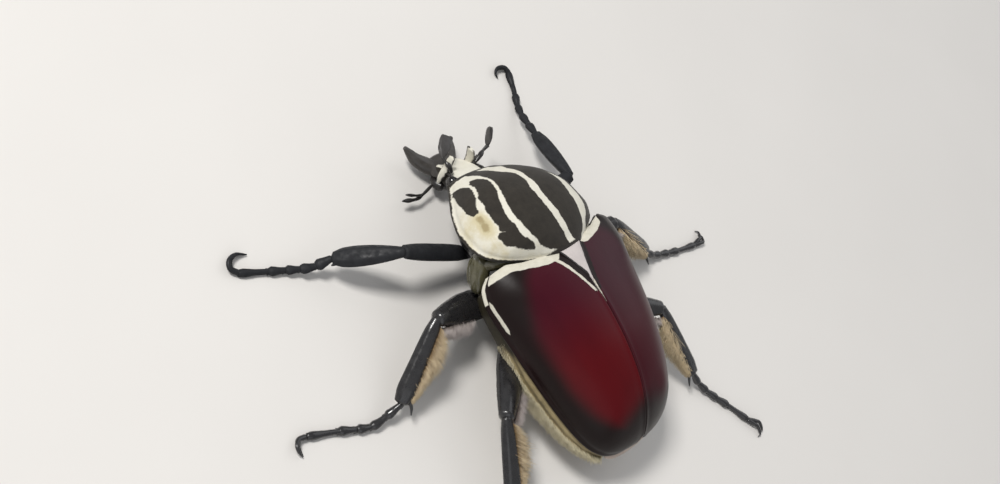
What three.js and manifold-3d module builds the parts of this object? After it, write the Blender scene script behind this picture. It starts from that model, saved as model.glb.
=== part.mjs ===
import * as THREE from 'three';
import Module from 'manifold-3d';

const wasm = await Module();
wasm.setup();

// ---------------------------------------------------------------- sizes, mm
// +X forward, +Y to the animal's left, +Z up, floor at z = 0
const BODY_RAISE = 2.0;          // lift of the trunk over its own base line
const GAP = 0.32;                // clearance between neighbouring plates
const SHELL = 1.2;               // thickness of a wing case

// wing cases: stations along X, half width, crest height, margin height
const ELY_X = [-47.2, -46.2, -43, -38, -30, -20, -12, -5, 0, 3.5, 5.5];
const ELY_W = [0.8, 8.0, 13.2, 16.2, 18.6, 20.6, 21.8, 22.8, 23.4, 22.8, 20.5];
const ELY_T = [13, 15.0, 18.8, 22.8, 26.6, 28.9, 29.6, 29.5, 29.2, 28.6, 28.0];
const ELY_M = [11.5, 11.5, 12.0, 12.8, 14, 15.5, 16.5, 17.5, 18.5, 19.5, 20.5];
const ELY_SCALE = { w: 1.0237, l: 0.9889, h: 0.9806 };
const ELY_EXP = 2.3;
const ELY_REAR = -46.7, ELY_FRONT = 5.4;

// pronotum, in its own tilted frame
const PRO_X = [-1, 0, 2, 5, 9, 14, 20, 25, 28, 29.5];
const PRO_W = [6, 10, 15.5, 18.6, 20.2, 19.8, 16.8, 12.8, 10.2, 8.8];
const PRO_T = [-0.6, 0.2, 1.2, 2.2, 2.9, 2.8, 0.8, -3.2, -6.8, -9.2];
const PRO_M = [-6, -7, -8.6, -10.2, -11.8, -13.2, -14.4, -15.2, -15.8, -16.2];
const PRO_SCALE = { w: 0.9752, l: 1.0131, h: 1.0736 };
const PRO_EXP = 2.675;
const PRO_MARGIN_LIFT = 3.59;
const PRO_YAW = -3.94, PRO_PITCH = 8.84, PRO_ROLL = 7.62;   // degrees
const PRO_AT = [3.769, -0.207, 28.767 + BODY_RAISE];

// trunk under the wing cases
const BELLY_X = [-46, -42, -36, -26, -14, -4, 4, 7];
const BELLY_Z = [10.5, 8.6, 7.2, 6.2, 5.6, 5.2, 5.6, 6.6];
// flank: inset from the wing-case margin, and how square it is in section
const FLANK_X = [-46, -42, -30, -20, -12, -6, 0, 6];
const FLANK_IN = [0.6, 0.3, -0.2, -0.1, 0.8, 1.3, 1.5, 1.4];
const FLANK_POW = [0.6, 0.42, 0.32, 0.34, 0.5, 0.7, 0.85, 0.9];

// head
const HEAD_AT = [31.4, -0.5, 14.6], HEAD_PITCH = 43, HEAD_YAW = -3;
const HEAD_LEN = 13.0;

// ---------------------------------------------------------------- helpers
const rad = (d) => d * Math.PI / 180;
const lin = (a, b, n) => Array.from({ length: n }, (_, i) => a + (b - a) * i / (n - 1));

// shape-preserving cubic through a table of stations
function curve(xs, ys) {
  const n = xs.length, h = [], d = [], m = new Array(n).fill(0);
  for (let i = 0; i < n - 1; i++) { h.push(xs[i + 1] - xs[i]); d.push((ys[i + 1] - ys[i]) / h[i]); }
  for (let i = 1; i < n - 1; i++) {
    if (d[i - 1] * d[i] > 0) {
      const w1 = 2 * h[i] + h[i - 1], w2 = h[i] + 2 * h[i - 1];
      m[i] = (w1 + w2) / (w1 / d[i - 1] + w2 / d[i]);
    }
  }
  m[0] = d[0]; m[n - 1] = d[n - 2];
  return (x) => {
    let i = 0;
    while (i < n - 2 && x > xs[i + 1]) i++;
    const t = Math.min(1, Math.max(0, (x - xs[i]) / h[i])), t2 = t * t, t3 = t2 * t;
    return ys[i] * (2 * t3 - 3 * t2 + 1) + m[i] * h[i] * (t3 - 2 * t2 + t)
      + ys[i + 1] * (3 * t2 - 2 * t3) + m[i + 1] * h[i] * (t3 - t2);
  };
}

// closed skin through equal-count rings, each end closed with a fan
function loft(rings) {
  const n = rings[0].length, pos = [], idx = [];
  for (const r of rings) for (const p of r) pos.push(p[0], p[1], p[2]);
  const mid = (r) => [0, 1, 2].map((k) => r.reduce((s, p) => s + p[k], 0) / n);
  const a = pos.length / 3; pos.push(...mid(rings[0]));
  const b = a + 1; pos.push(...mid(rings[rings.length - 1]));
  for (let i = 0; i < rings.length - 1; i++) for (let j = 0; j < n; j++) {
    const k = (j + 1) % n, p = i * n + j, q = i * n + k;
    idx.push(p, q, p + n, q, q + n, p + n);
  }
  const last = (rings.length - 1) * n;
  for (let j = 0; j < n; j++) {
    const k = (j + 1) % n;
    idx.push(a, k, j);
    idx.push(b, last + j, last + k);
  }
  return outward(pos, idx);
}

function outward(pos, idx) {
  let v = 0;
  const P = (i) => new THREE.Vector3(pos[3 * i], pos[3 * i + 1], pos[3 * i + 2]);
  for (let i = 0; i < idx.length; i += 3) v += P(idx[i]).dot(P(idx[i + 1]).cross(P(idx[i + 2])));
  if (v < 0) for (let i = 0; i < idx.length; i += 3) [idx[i + 1], idx[i + 2]] = [idx[i + 2], idx[i + 1]];
  return { pos, idx };
}

const toSolid = (g) => new wasm.Manifold(new wasm.Mesh({
  numProp: 3, vertProperties: Float32Array.from(g.pos), triVerts: Uint32Array.from(g.idx) }));

function fromSolid(s) {
  const parts = s.decompose().sort((a, b) => b.volume() - a.volume());
  const m = parts[0].getMesh(), pos = [];
  for (let i = 0; i < m.numVert; i++) for (let k = 0; k < 3; k++) pos.push(m.vertProperties[i * m.numProp + k]);
  return { pos, idx: Array.from(m.triVerts) };
}
const union = (...gs) => fromSolid(gs.map(toSolid).reduce((a, b) => a.add(b)));
const minus = (g, ...cut) => fromSolid(cut.map(toSolid).reduce((a, b) => a.subtract(b), toSolid(g)));
const aboveFloor = (g) => fromSolid(toSolid(g).trimByPlane([0, 0, 1], 0));

// limb: an oval tube along a path; radii are [across, up] at each point
function limb(path, radii, n = 8, spin = 0) {
  const P = path.map((p) => new THREE.Vector3(...p)), rings = [];
  P.forEach((p, i) => {
    const t = new THREE.Vector3();
    if (i > 0) t.add(P[i].clone().sub(P[i - 1]).normalize());
    if (i < P.length - 1) t.add(P[i + 1].clone().sub(P[i]).normalize());
    t.normalize();
    const up = Math.abs(t.z) > 0.9 ? new THREE.Vector3(1, 0, 0) : new THREE.Vector3(0, 0, 1);
    const side = up.clone().cross(t).normalize(), top = t.clone().cross(side).normalize();
    const [ra, rb] = Array.isArray(radii[i]) ? radii[i] : [radii[i], radii[i]];
    rings.push(lin(0, 2 * Math.PI, n + 1).slice(0, n).map((a) => {
      const c = Math.cos(a + spin) * ra, s = Math.sin(a + spin) * rb;
      return p.clone().addScaledVector(side, c).addScaledVector(top, s).toArray();
    }));
  });
  return loft(rings);
}

// blend a path with rounded ends: radii shrink over the first and last step
const along = (a, b, t) => a.map((v, k) => v + (b[k] - v) * t);

function egg(c, r, n = 10, m = 7) {
  return loft(lin(0, 1, m).map((t) => {
    const th = Math.PI * (0.06 + 0.88 * t);
    return lin(0, 2 * Math.PI, n + 1).slice(0, n).map((a) => [
      c[0] - r[0] * Math.cos(th), c[1] + r[1] * Math.sin(th) * Math.cos(a), c[2] + r[2] * Math.sin(th) * Math.sin(a)]);
  }));
}

// ---------------------------------------------------------------- trunk forms
const eW = curve(ELY_X, ELY_W), eT = curve(ELY_X, ELY_T), eM = curve(ELY_X, ELY_M);
const ely = (x) => ({
  x: x * ELY_SCALE.l, w: eW(x) * ELY_SCALE.w,
  t: eT(x) * ELY_SCALE.h + BODY_RAISE, m: eM(x) * ELY_SCALE.h + BODY_RAISE });
const dome = (s, e) => Math.sqrt(Math.max(0, 1 - Math.pow(Math.abs(s), e)));

const STATIONS = [-44.5, -42, ...lin(-38, 0, 7), 3.2];
function wingCase(side, ns = 9) {
  const stations = [ELY_REAR, -46, ...STATIONS, ELY_FRONT];
  return loft(stations.map((x) => {
    const q = ely(x), ring = [];
    const s0 = 0.16 / q.w;
    for (let i = 0; i < ns; i++) {
      const s = s0 + (1 - s0) * Math.sin(Math.PI / 2 * i / (ns - 1));
      ring.push([q.x, side * q.w * s, q.m + (q.t - q.m) * dome(s, ELY_EXP)]);
    }
    const wi = q.w - SHELL, ti = q.t - SHELL;
    for (let i = ns - 1; i >= 0; i--) {
      const s = 0.16 / wi + (1 - 0.16 / wi) * Math.sin(Math.PI / 2 * i / (ns - 1));
      ring.push([q.x, side * wi * s, q.m + (ti - q.m) * dome(s, ELY_EXP)]);
    }
    return ring;
  }));
}

const pW = curve(PRO_X, PRO_W), pT = curve(PRO_X, PRO_T), pM = curve(PRO_X, PRO_M);
const proFrame = new THREE.Matrix4()
  .makeTranslation(...PRO_AT)
  .multiply(new THREE.Matrix4().makeRotationX(rad(PRO_ROLL)))
  .multiply(new THREE.Matrix4().makeRotationY(rad(PRO_PITCH)))
  .multiply(new THREE.Matrix4().makeRotationZ(rad(PRO_YAW)));
const inPro = (p) => new THREE.Vector3(...p).applyMatrix4(proFrame).toArray();
const pro = (x) => ({
  x: x * PRO_SCALE.l, w: pW(x) * PRO_SCALE.w,
  t: pT(x) * PRO_SCALE.h, m: pM(x) * PRO_SCALE.h + PRO_MARGIN_LIFT });

function pronotumSolid(grow = 0, depth = 0, ns = 13) {
  const xs = [-1, 0, 2, 5, 9, 14, 19, 23, 26, 28.4, 29.5];
  return loft(xs.map((x, k) => {
    const q = pro(x), ring = [];
    const dx = k === 0 ? -grow : k === xs.length - 1 ? grow : 0;
    const w = q.w + grow;
    for (let i = 0; i < ns; i++) {
      const s = Math.sin(Math.PI / 2 * (-1 + 2 * i / (ns - 1)));
      ring.push([q.x + dx, w * s, q.m + (q.t + grow - q.m) * dome(s, PRO_EXP)]);
    }
    for (let i = ns - 2; i > 0; i--) {
      const s = Math.sin(Math.PI / 2 * (-1 + 2 * i / (ns - 1)));
      ring.push([q.x + dx, w * s, q.m - (1.0 + depth) * (1 - s * s) - depth]);
    }
    return ring.map(inPro);
  }));
}

function prothoraxUnder(grow = 0, ns = 11) {
  const xs = [4.5 - grow, 6, 10, 15, 20, 24, 26.5 + grow];
  const floorZ = curve([4.5, 8, 15, 22, 26.5], [-17.5, -21, -22, -20, -17.5]);
  return loft(xs.map((x) => {
    const q = pro(x), ring = [], w = q.w - 1.4 + grow;
    for (let i = 0; i < ns; i++) {
      const s = -1 + 2 * i / (ns - 1);
      ring.push([q.x, w * s, q.m - 1.0 - GAP + grow]);
    }
    const deep = q.m - 1.0 - GAP - floorZ(x) + grow;
    for (let i = ns - 2; i > 0; i--) {
      const s = Math.cos(Math.PI * (1 - i / (ns - 1)));
      ring.push([q.x, w * 0.98 * s, q.m - 1.0 - GAP - 0.4 - (deep - 0.4) * Math.pow(1 - s * s, 0.42)]);
    }
    return ring.map(inPro);
  }));
}

const bellyZ = curve(BELLY_X, BELLY_Z);
const flankIn = curve(FLANK_X, FLANK_IN), flankPow = curve(FLANK_X, FLANK_POW);
function trunk(grow = 0, ns = 11, nu = 17) {
  const xs = [-44.9 - grow, ...STATIONS, 5.0 + grow];
  return loft(xs.map((x) => {
    const q = ely(x), ring = [];
    const wi = q.w - SHELL - GAP - 0.25 + grow, ti = q.t - SHELL - GAP - 0.3 + grow;
    for (let i = 0; i < nu; i++) {
      const s = Math.sin(Math.PI / 2 * (-1 + 2 * i / (nu - 1)));
      ring.push([q.x, wi * s, q.m + (ti - q.m) * dome(s, ELY_EXP)]);
    }
    const zb = bellyZ(x) - grow, top = q.m - 0.9 + grow, wl = q.w - flankIn(x) + grow;
    ring.push([q.x, wi, q.m - GAP - 0.1 + grow * 1.2]);
    for (let i = 0; i < ns; i++) {
      const a = Math.PI * (i + 0.5) / ns;
      const c = Math.cos(a), s = Math.sin(a);
      ring.push([q.x, wl * Math.sign(c) * Math.pow(Math.abs(c), flankPow(x)), top - (top - zb) * Math.pow(s, 0.8)]);
    }
    ring.push([q.x, -wi, q.m - GAP - 0.1 + grow * 1.2]);
    return ring;
  }));
}

// scutellum: small pointed plate between the wing-case bases
function scutellumPlate(grow = 0, up = 0) {
  const tipX = -6.9 - grow * 2.2, baseX = 3.6 + grow, half = 4.4 + grow;
  const rows = lin(0, 1, 6).map((t) => {
    const x = tipX + (baseX - tipX) * t, w = 0.35 + (half - 0.35) * Math.pow(t, 0.9);
    const q = ely(x / ELY_SCALE.l), z = q.t;
    return [[x, -w, z - 0.9 - up - grow], [x, w, z - 0.9 - up - grow], [x, w, z - 0.15 + up], [x, 0, z + 0.22 + up], [x, -w, z - 0.15 + up]];
  });
  return loft(rows);
}

// ---------------------------------------------------------------- head forms
const headFrame = new THREE.Matrix4()
  .makeTranslation(...HEAD_AT)
  .multiply(new THREE.Matrix4().makeRotationZ(rad(HEAD_YAW)))
  .multiply(new THREE.Matrix4().makeRotationY(rad(HEAD_PITCH)));
const inHead = (p) => new THREE.Vector3(...p).applyMatrix4(headFrame).toArray();
const hW = curve([-2, 0, 3, 6, 9, 11.5, 13], [4.0, 4.6, 4.9, 4.4, 4.3, 3.8, 2.6]);
const hT = curve([-2, 0, 3, 6, 9, 11.5, 13], [-1.2, -0.2, 0.2, 0.1, -0.3, -0.9, -1.4]);
const hB = curve([-2, 0, 3, 6, 9, 11.5, 13], [-5.4, -6.2, -6.4, -6.0, -5.0, -3.8, -2.8]);
function headSolid() {
  return loft([-2, 0, 3, 6, 9, 11.5, 13].map((x) => {
    const w = hW(x), t = hT(x), b = hB(x), m = (t + b) / 2, h = (t - b) / 2;
    return lin(0, 2 * Math.PI, 17).slice(0, 16).map((a) => {
      const c = Math.cos(a), s = Math.sin(a);
      return inHead([x, w * Math.sign(c) * Math.pow(Math.abs(c), 0.7), m + h * Math.sign(s) * Math.pow(Math.abs(s), 0.7)]);
    });
  }));
}

const FORK = [41.2, -0.9, 4.6], HORN_L = [46.8, 7.1, 5.2], HORN_R = [44.4, -8.2, 5.2];
function hornSolid() {
  // broad stem under the front of the head, then two arms that bend forward to blunt points
  const stem = limb([[37.0, -0.8, 5.0], [38.6, -0.9, 4.6], along([38.6, -0.9, 4.6], FORK, 0.6), [41.8, -0.9, 4.3]],
    [[4.1, 1.8], [4.6, 2.0], [4.4, 1.8], [3.0, 1.2]], 12);
  const tine = (tip, s) => {
    const at = (x, y, z) => [s > 0 ? x : x - 1.4 * (x - 38) / 8, s * y - 0.6, z];
    return limb([at(38.6, 2.2, 4.5), at(40.8, 4.1, 4.1), at(43.0, 5.8, 4.1), at(45.0, 6.8, 4.6), tip],
      [[2.0, 1.5], [2.2, 1.6], [1.9, 1.5], [1.3, 1.1], [0.5, 0.45]], 10);
  };
  return union(stem, tine(HORN_L, 1), tine(HORN_R, -1));
}

// ---------------------------------------------------------------- legs
// joint points: root, knee, ankle, then the foot down to the claw tip
const LEGS = {
  front_left: {
    root: [15.4, 10.5, 8.4], knee: [21.9, 31.4, 14.6], ankle: [29.4, 43.5, 5.6],
    foot: [[30.1, 48.1, 3.0], [32.8, 54.3, 1.1], [36.6, 64.2, 0.75]],
    claws: [[39.0, 64.6, 1.2], [39.9, 60.2, 0.35]], spread: [0, 1.6, 0] },
  middle_left: {
    root: [3.0, 15.0, 7.6], knee: [4.5, 33.4, 14.6], ankle: [-7.8, 47.4, 4.6],
    foot: [[-8.5, 51.1, 2.5], [-8.6, 55.7, 1.2], [-5.6, 63.3, 0.85], [-2.9, 70.8, 0.75]],
    claws: [[-3.9, 73.8, 1.2], [-6.2, 73.4, 0.35]], spread: [1.5, 0.4, 0] },
  hind_left: {
    root: [-8.5, 11.5, 7.8], knee: [-23.4, 31.0, 14.2], ankle: [-44.0, 36.5, 4.6],
    foot: [[-47.4, 38.2, 2.4], [-52.0, 40.4, 1.2], [-59.0, 43.8, 0.85], [-66.0, 46.6, 0.75]],
    claws: [[-69.0, 48.6, 1.2], [-71.2, 47.2, 0.35]], spread: [0.5, 1.5, 0] },
  front_right: {
    root: [16.4, -11.5, 8.0], knee: [20.2, -29.4, 13.4], ankle: [35.6, -34.6, 5.6],
    foot: [[42.3, -37.0, 2.6], [46.0, -39.0, 1.2], [49.6, -40.9, 0.9], [56.0, -43.2, 0.75]],
    claws: [[58.4, -42.4, 1.2], [57.4, -39.8, 0.35]], spread: [1.4, -0.9, 0] },
  middle_right: {
    root: [3.0, -15.0, 7.6], knee: [3.4, -33.6, 14.2], ankle: [-7.6, -48.0, 4.6],
    foot: [[-9.4, -51.4, 2.5], [-10.6, -55.8, 1.2], [-12.4, -63.4, 0.85], [-13.6, -70.8, 0.75]],
    claws: [[-13.4, -73.9, 1.2], [-11.0, -74.4, 0.35]], spread: [1.5, 0.2, 0] },
  hind_right: {
    root: [-8.5, -11.5, 7.8], knee: [-22.6, -31.4, 14.2], ankle: [-42.6, -38.0, 4.6],
    foot: [[-45.8, -40.0, 2.4], [-50.0, -42.6, 1.2], [-56.4, -46.8, 0.85], [-62.8, -50.4, 0.75]],
    claws: [[-65.6, -52.6, 1.2], [-68.0, -51.4, 0.35]], spread: [0.6, -1.5, 0] },
};

function shorten(a, b, da, db) {
  const A = new THREE.Vector3(...a), B = new THREE.Vector3(...b), d = B.clone().sub(A).normalize();
  return [A.clone().addScaledVector(d, da).toArray(), B.clone().addScaledVector(d, -db).toArray()];
}
const grown = (list, g) => list.map(([a, b]) => [a + g, b + g]);
function femur(leg, thick, grow = 0) {
  const [a, b] = shorten(leg.root, leg.knee, -grow, 0.2 - grow), T = thick;
  return limb([0, 0.08, 0.35, 0.7, 0.93, 1].map((t) => along(a, b, t)), grown(
    [[0.7 * T, 0.55 * T], [0.94 * T, 0.64 * T], [T, 0.7 * T], [0.98 * T, 0.7 * T], [0.84 * T, 0.64 * T], [0.55 * T, 0.48 * T]], grow), 10);
}
function tibia(leg, thick, grow = 0) {
  const [a, b] = shorten(leg.knee, leg.ankle, -0.2, 0.3 - grow), T = thick;
  return limb([0, 0.07, 0.35, 0.75, 0.94, 1].map((t) => along(a, b, t)), grown(
    [[0.4 * T, 0.4 * T], [0.68 * T, 0.6 * T], [0.8 * T, 0.62 * T], [T, 0.66 * T], [1.05 * T, 0.66 * T], [0.6 * T, 0.5 * T]], grow), 8);
}
function tarsus(leg, shin) {
  const start = shorten(leg.ankle, leg.foot[0], -0.2, 0)[0];
  const path = [start], rad0 = [0.42];
  let prev = start;
  leg.foot.forEach((p, i) => {
    const last = i === leg.foot.length - 1;
    path.push(along(prev, p, 0.62)); rad0.push(0.85);
    path.push(p); rad0.push(last ? 0.8 : 0.58);
    prev = p;
  });
  const body = limb(path, rad0.map((r) => [r * 1.05, r]), 8);
  const hook = (sgn) => {
    const off = leg.spread.map((v) => v * 0.5 * sgn);
    const k1 = leg.claws[0].map((v, i) => v + off[i]), k2 = leg.claws[1].map((v, i) => v + off[i]);
    const back = along(prev, path[path.length - 2], 0.12);
    return limb([back, along(prev, k1, 0.5), k1, along(k1, k2, 0.5), k2], [0.62, 0.55, 0.46, 0.38, 0.27], 6);
  };
  return aboveFloor(minus(union(body, hook(1), hook(-1)), shin));
}

// ---------------------------------------------------------------- assembly
const root = new THREE.Group();
root.name = 'goliath_beetle';
const FINISH = {
  wing: { color: 0x4a0d14, roughness: 0.3, metalness: 0.0 },
  velvet: { color: 0xd8d3c4, roughness: 0.7, metalness: 0.0 },
  dark: { color: 0x14110f, roughness: 0.35, metalness: 0.0 },
  pale: { color: 0x9a8a63, roughness: 0.8, metalness: 0.0 },
  eye: { color: 0x0b0a0a, roughness: 0.15, metalness: 0.0 },
  horn: { color: 0x1b1816, roughness: 0.35, metalness: 0.0 },
};
const built = [];
function add(name, geo, finish) {
  const g = new THREE.BufferGeometry();
  g.setAttribute('position', new THREE.Float32BufferAttribute(geo.pos, 3));
  g.setIndex(geo.idx);
  g.computeVertexNormals();
  const m = new THREE.Mesh(g, new THREE.MeshStandardMaterial(FINISH[finish]));
  m.name = name;
  root.add(m);
  built.push(m);
  return geo;
}

const collar = pronotumSolid(0.65, 3.2);
const notch = scutellumPlate(GAP * 1.5, 1.6);
add('elytron_left', minus(wingCase(1), collar, notch), 'wing');
add('elytron_right', minus(wingCase(-1), collar, notch), 'wing');
add('scutellum', minus(scutellumPlate(), collar), 'dark');
const under = prothoraxUnder(), underRoom = prothoraxUnder(0.45), trunkRoom = trunk(0.35);
const abdomen = minus(trunk(), collar, underRoom, scutellumPlate(GAP, 0.3));
add('abdomen', abdomen, 'pale');
add('pronotum', pronotumSolid(), 'velvet');

const head = headSolid();
const headRoom = (s) => loft([-2.8, 0, 3, 6, 9, 11.5, HEAD_LEN + s].map((x) => {
  const w = hW(x) + s, t = hT(x) + s, b = hB(x) - s, m = (t + b) / 2, h = (t - b) / 2;
  return lin(0, 2 * Math.PI, 17).slice(0, 16).map((a) => {
    const c = Math.cos(a), q = Math.sin(a);
    return inHead([x, w * Math.sign(c) * Math.pow(Math.abs(c), 0.7), m + h * Math.sign(q) * Math.pow(Math.abs(q), 0.7)]);
  });
}));
add('prothorax_under', minus(under, headRoom(0.4)), 'dark');
add('head', minus(head, collar), 'velvet');
add('horn', minus(hornSolid(), headRoom(0.3)), 'horn');
for (const [side, s] of [['left', 1], ['right', -1]]) {
  const eyeC = inHead([1.6, s * 5.9, -2.2]);
  add(`eye_${side}`, minus(egg(eyeC, [1.5, 1.1, 1.5]), headRoom(0.3), collar), 'eye');
}

// feelers: thin stalk, then the flattened club
const FEELERS = {
  left: { base: [35.4, 4.9, 12.4], elbow: [37.4, 5.3, 13.4], neck: [38.9, 5.4, 13.5], tip: [43.3, 0.9, 14.2], width: 1.9 },
  right: { base: [35.3, -5.6, 11.9], elbow: [36.3, -8.6, 12.6], neck: [36.9, -10.6, 13.0], tip: [40.7, -13.8, 13.5], width: 0.8 },
};
for (const [side, f] of Object.entries(FEELERS)) {
  add(`feeler_${side}`, minus(limb([f.base, along(f.base, f.elbow, 0.5), f.elbow, f.neck], [0.5, 0.6, 0.42, 0.4], 8), headRoom(0.3), collar), 'dark');
  const [a, b] = shorten(f.neck, f.tip, 0.75, 0);
  add(`feeler_club_${side}`, limb([0, 0.15, 0.5, 0.85, 1].map((t) => along(a, b, t)),
    [0.35, 0.75, 1, 0.85, 0.55].map((k) => [k * f.width, k * (f.width > 1 ? 0.75 : 1.5)]), 10), 'dark');
}
const PALPS = {
  left: [[35.2, 5.9, 3.6], [33.9, 10.6, 3.4], [34.2, 13.0, 3.3], [34.9, 15.2, 3.3]],
  right: [[35.0, -6.7, 3.6], [35.2, -10.4, 3.4], [36.2, -12.6, 3.3], [37.6, -14.2, 3.3]],
};
for (const [side, p] of Object.entries(PALPS)) {
  add(`palp_${side}`, minus(limb(p, [0.4, 0.42, 0.5, 0.32], 8), headRoom(0.3)), 'dark');
}

// shoulder plates between the pronotum and the wing cases
for (const [side, s] of [['left', 1], ['right', -1]]) {
  const mid = [9.2, s * 17.6, 17.4], end = [-4.3, s * 1.85, -3.15];
  const plate = limb([-1, -0.8, -0.3, 0.3, 0.8, 1].map((t) => mid.map((v, k) => v + end[k] * t)),
    [[0.7, 0.8], [1.8, 2.0], [2.5, 3.0], [2.5, 3.0], [1.8, 2.0], [0.7, 0.8]], 10);
  const shell = loft([ELY_REAR, -30, -5, 0, 3.4, ELY_FRONT + 0.35].map((x) => {
    const q = ely(Math.min(x, 5.5)), ring = [];
    for (let i = 0; i < 11; i++) {
      const t = Math.sin(Math.PI / 2 * (-1 + 2 * i / 10));
      ring.push([x * ELY_SCALE.l, (q.w + 0.35) * t, q.m - 0.4 + (q.t + 0.75 - q.m) * dome(t, ELY_EXP)]);
    }
    return ring;
  }));
  add(`shoulder_plate_${side}`, minus(plate, shell, trunkRoom, underRoom, pronotumSolid(0.5, 1.6)), 'pale');
}

// rear plate under the wing-case tips
add('pygidium', loft([[-45.4, 9.4, 2.4, 11.4], [-46.4, 8.6, 2.3, 11.1], [-47.2, 6.2, 1.9, 10.7], [-47.7, 3.0, 1.1, 10.3]]
  .map(([x, w, h, z]) => lin(0, 2 * Math.PI, 15).slice(0, 14).map((a) => [x * ELY_SCALE.l - 0.1, w * Math.cos(a), z - 0.4 + h * Math.sin(a)]))), 'velvet');

const THICK = { front: 2.2, middle: 3.4, hind: 3.5 };
const SHIN = { front: 2.3, middle: 2.1, hind: 2.15 };
for (const [name, leg] of Object.entries(LEGS)) {
  const kind = name.split('_')[0];
  add(`femur_${name}`, minus(femur(leg, THICK[kind]), kind === 'front' ? underRoom : trunkRoom, pronotumSolid(0.4, 0.5)), 'dark');
  add(`tibia_${name}`, minus(tibia(leg, SHIN[kind]), femur(leg, THICK[kind], 0.32)), 'dark');
  add(`tarsus_${name}`, tarsus(leg, tibia(leg, SHIN[kind], 0.32)), 'dark');
}

// centre the model on its own footprint, feet on z = 0
const box = new THREE.Box3().setFromObject(root);
const shift = [-(box.min.x + box.max.x) / 2, -(box.min.y + box.max.y) / 2, -box.min.z];
for (const m of built) m.geometry.translate(...shift);

export default root;
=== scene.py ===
import math

import bpy
import numpy as np
from mathutils import Matrix, Vector


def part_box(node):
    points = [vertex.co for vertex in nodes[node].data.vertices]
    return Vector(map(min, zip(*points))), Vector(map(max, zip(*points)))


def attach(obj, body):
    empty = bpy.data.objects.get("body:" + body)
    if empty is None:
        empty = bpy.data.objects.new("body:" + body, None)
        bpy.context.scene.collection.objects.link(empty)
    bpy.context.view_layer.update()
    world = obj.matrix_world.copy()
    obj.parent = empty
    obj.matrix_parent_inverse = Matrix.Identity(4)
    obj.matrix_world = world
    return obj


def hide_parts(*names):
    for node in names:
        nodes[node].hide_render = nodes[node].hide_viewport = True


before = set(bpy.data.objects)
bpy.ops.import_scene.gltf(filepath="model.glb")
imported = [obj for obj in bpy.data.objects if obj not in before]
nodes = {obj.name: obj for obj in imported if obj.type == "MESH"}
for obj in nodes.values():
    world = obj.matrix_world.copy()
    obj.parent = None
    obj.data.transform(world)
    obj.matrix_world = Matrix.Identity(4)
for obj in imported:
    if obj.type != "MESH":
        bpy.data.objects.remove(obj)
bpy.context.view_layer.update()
MM = 0.001

# ------------------------------------------------------------------ sizes, mm, as in the solids
BODY_RAISE = 2.0
ELY_X = [-47.2, -46.2, -43, -38, -30, -20, -12, -5, 0, 3.5, 5.5]
ELY_W = [0.8, 8.0, 13.2, 16.2, 18.6, 20.6, 21.8, 22.8, 23.4, 22.8, 20.5]
ELY_T = [13, 15.0, 18.8, 22.8, 26.6, 28.9, 29.6, 29.5, 29.2, 28.6, 28.0]
ELY_M = [11.5, 11.5, 12.0, 12.8, 14, 15.5, 16.5, 17.5, 18.5, 19.5, 20.5]
EK_W, EK_L, EK_H = 1.0237, 0.9889, 0.9806
PRO_X = [-1, 0, 2, 5, 9, 14, 20, 25, 28, 29.5]
PRO_W = [4.5, 7.6, 12.6, 18.0, 20.2, 19.8, 16.8, 12.8, 10.2, 8.8]
PRO_T = [-0.6, 0.2, 1.2, 2.2, 2.9, 2.8, 0.8, -3.2, -6.8, -9.2]
PRO_M = [-6, -7, -8.6, -10.2, -11.8, -13.2, -14.4, -15.2, -15.8, -16.2]
PK_W, PK_L, PK_H = 0.9752, 1.0131, 1.0736
PRO_EXP, PRO_LIFT = 2.675, 3.59
BELLY_X = [-46, -42, -36, -26, -14, -4, 4, 7]
BELLY_Z = [10.5, 8.6, 7.2, 6.2, 5.6, 5.2, 5.6, 6.6]
HEAD_AT, HEAD_PITCH, HEAD_YAW = (31.4, -0.5, 14.6), 43.0, -3.0

SHIFT = np.array([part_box("scutellum")[0].x / MM + 6.9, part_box("elytron_left")[0].y / MM - 0.16, 0.0])

# ------------------------------------------------------------------ small maths


def rot(axis, deg):
    return np.array(Matrix.Rotation(math.radians(deg), 3, axis))


PRO_R = rot("X", 7.62) @ rot("Y", 8.84) @ rot("Z", -3.94)
PRO_AT = np.array([3.769, -0.207, 28.767 + BODY_RAISE])
HEAD_R = rot("Z", HEAD_YAW) @ rot("Y", HEAD_PITCH)


def in_pro(p):
    return np.asarray(p, float) @ PRO_R.T + PRO_AT


def in_head(p):
    return np.asarray(p, float) @ HEAD_R.T + np.array(HEAD_AT)


def curve(xs, ys):
    xs, ys = np.asarray(xs, float), np.asarray(ys, float)
    h, d = np.diff(xs), np.diff(ys) / np.diff(xs)
    m = np.zeros(len(xs))
    for i in range(1, len(xs) - 1):
        if d[i - 1] * d[i] > 0:
            w1, w2 = 2 * h[i] + h[i - 1], h[i] + 2 * h[i - 1]
            m[i] = (w1 + w2) / (w1 / d[i - 1] + w2 / d[i])
    m[0], m[-1] = d[0], d[-1]

    def f(x):
        x = np.asarray(x, float)
        i = np.clip(np.searchsorted(xs, x, side="right") - 1, 0, len(xs) - 2)
        t = np.clip((x - xs[i]) / h[i], 0, 1)
        t2, t3 = t * t, t * t * t
        return (ys[i] * (2 * t3 - 3 * t2 + 1) + m[i] * h[i] * (t3 - 2 * t2 + t)
                + ys[i + 1] * (3 * t2 - 2 * t3) + m[i + 1] * h[i] * (t3 - t2))
    return f


def smooth(a, b, x):
    t = np.clip((np.asarray(x, float) - a) / (b - a), 0, 1)
    return t * t * (3 - 2 * t)


def bump(x, c, r):
    return np.exp(-((np.asarray(x, float) - c) / r) ** 2)


def unit(v):
    v = np.asarray(v, float)
    return v / np.maximum(np.linalg.norm(v, axis=-1, keepdims=True), 1e-9)


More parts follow.
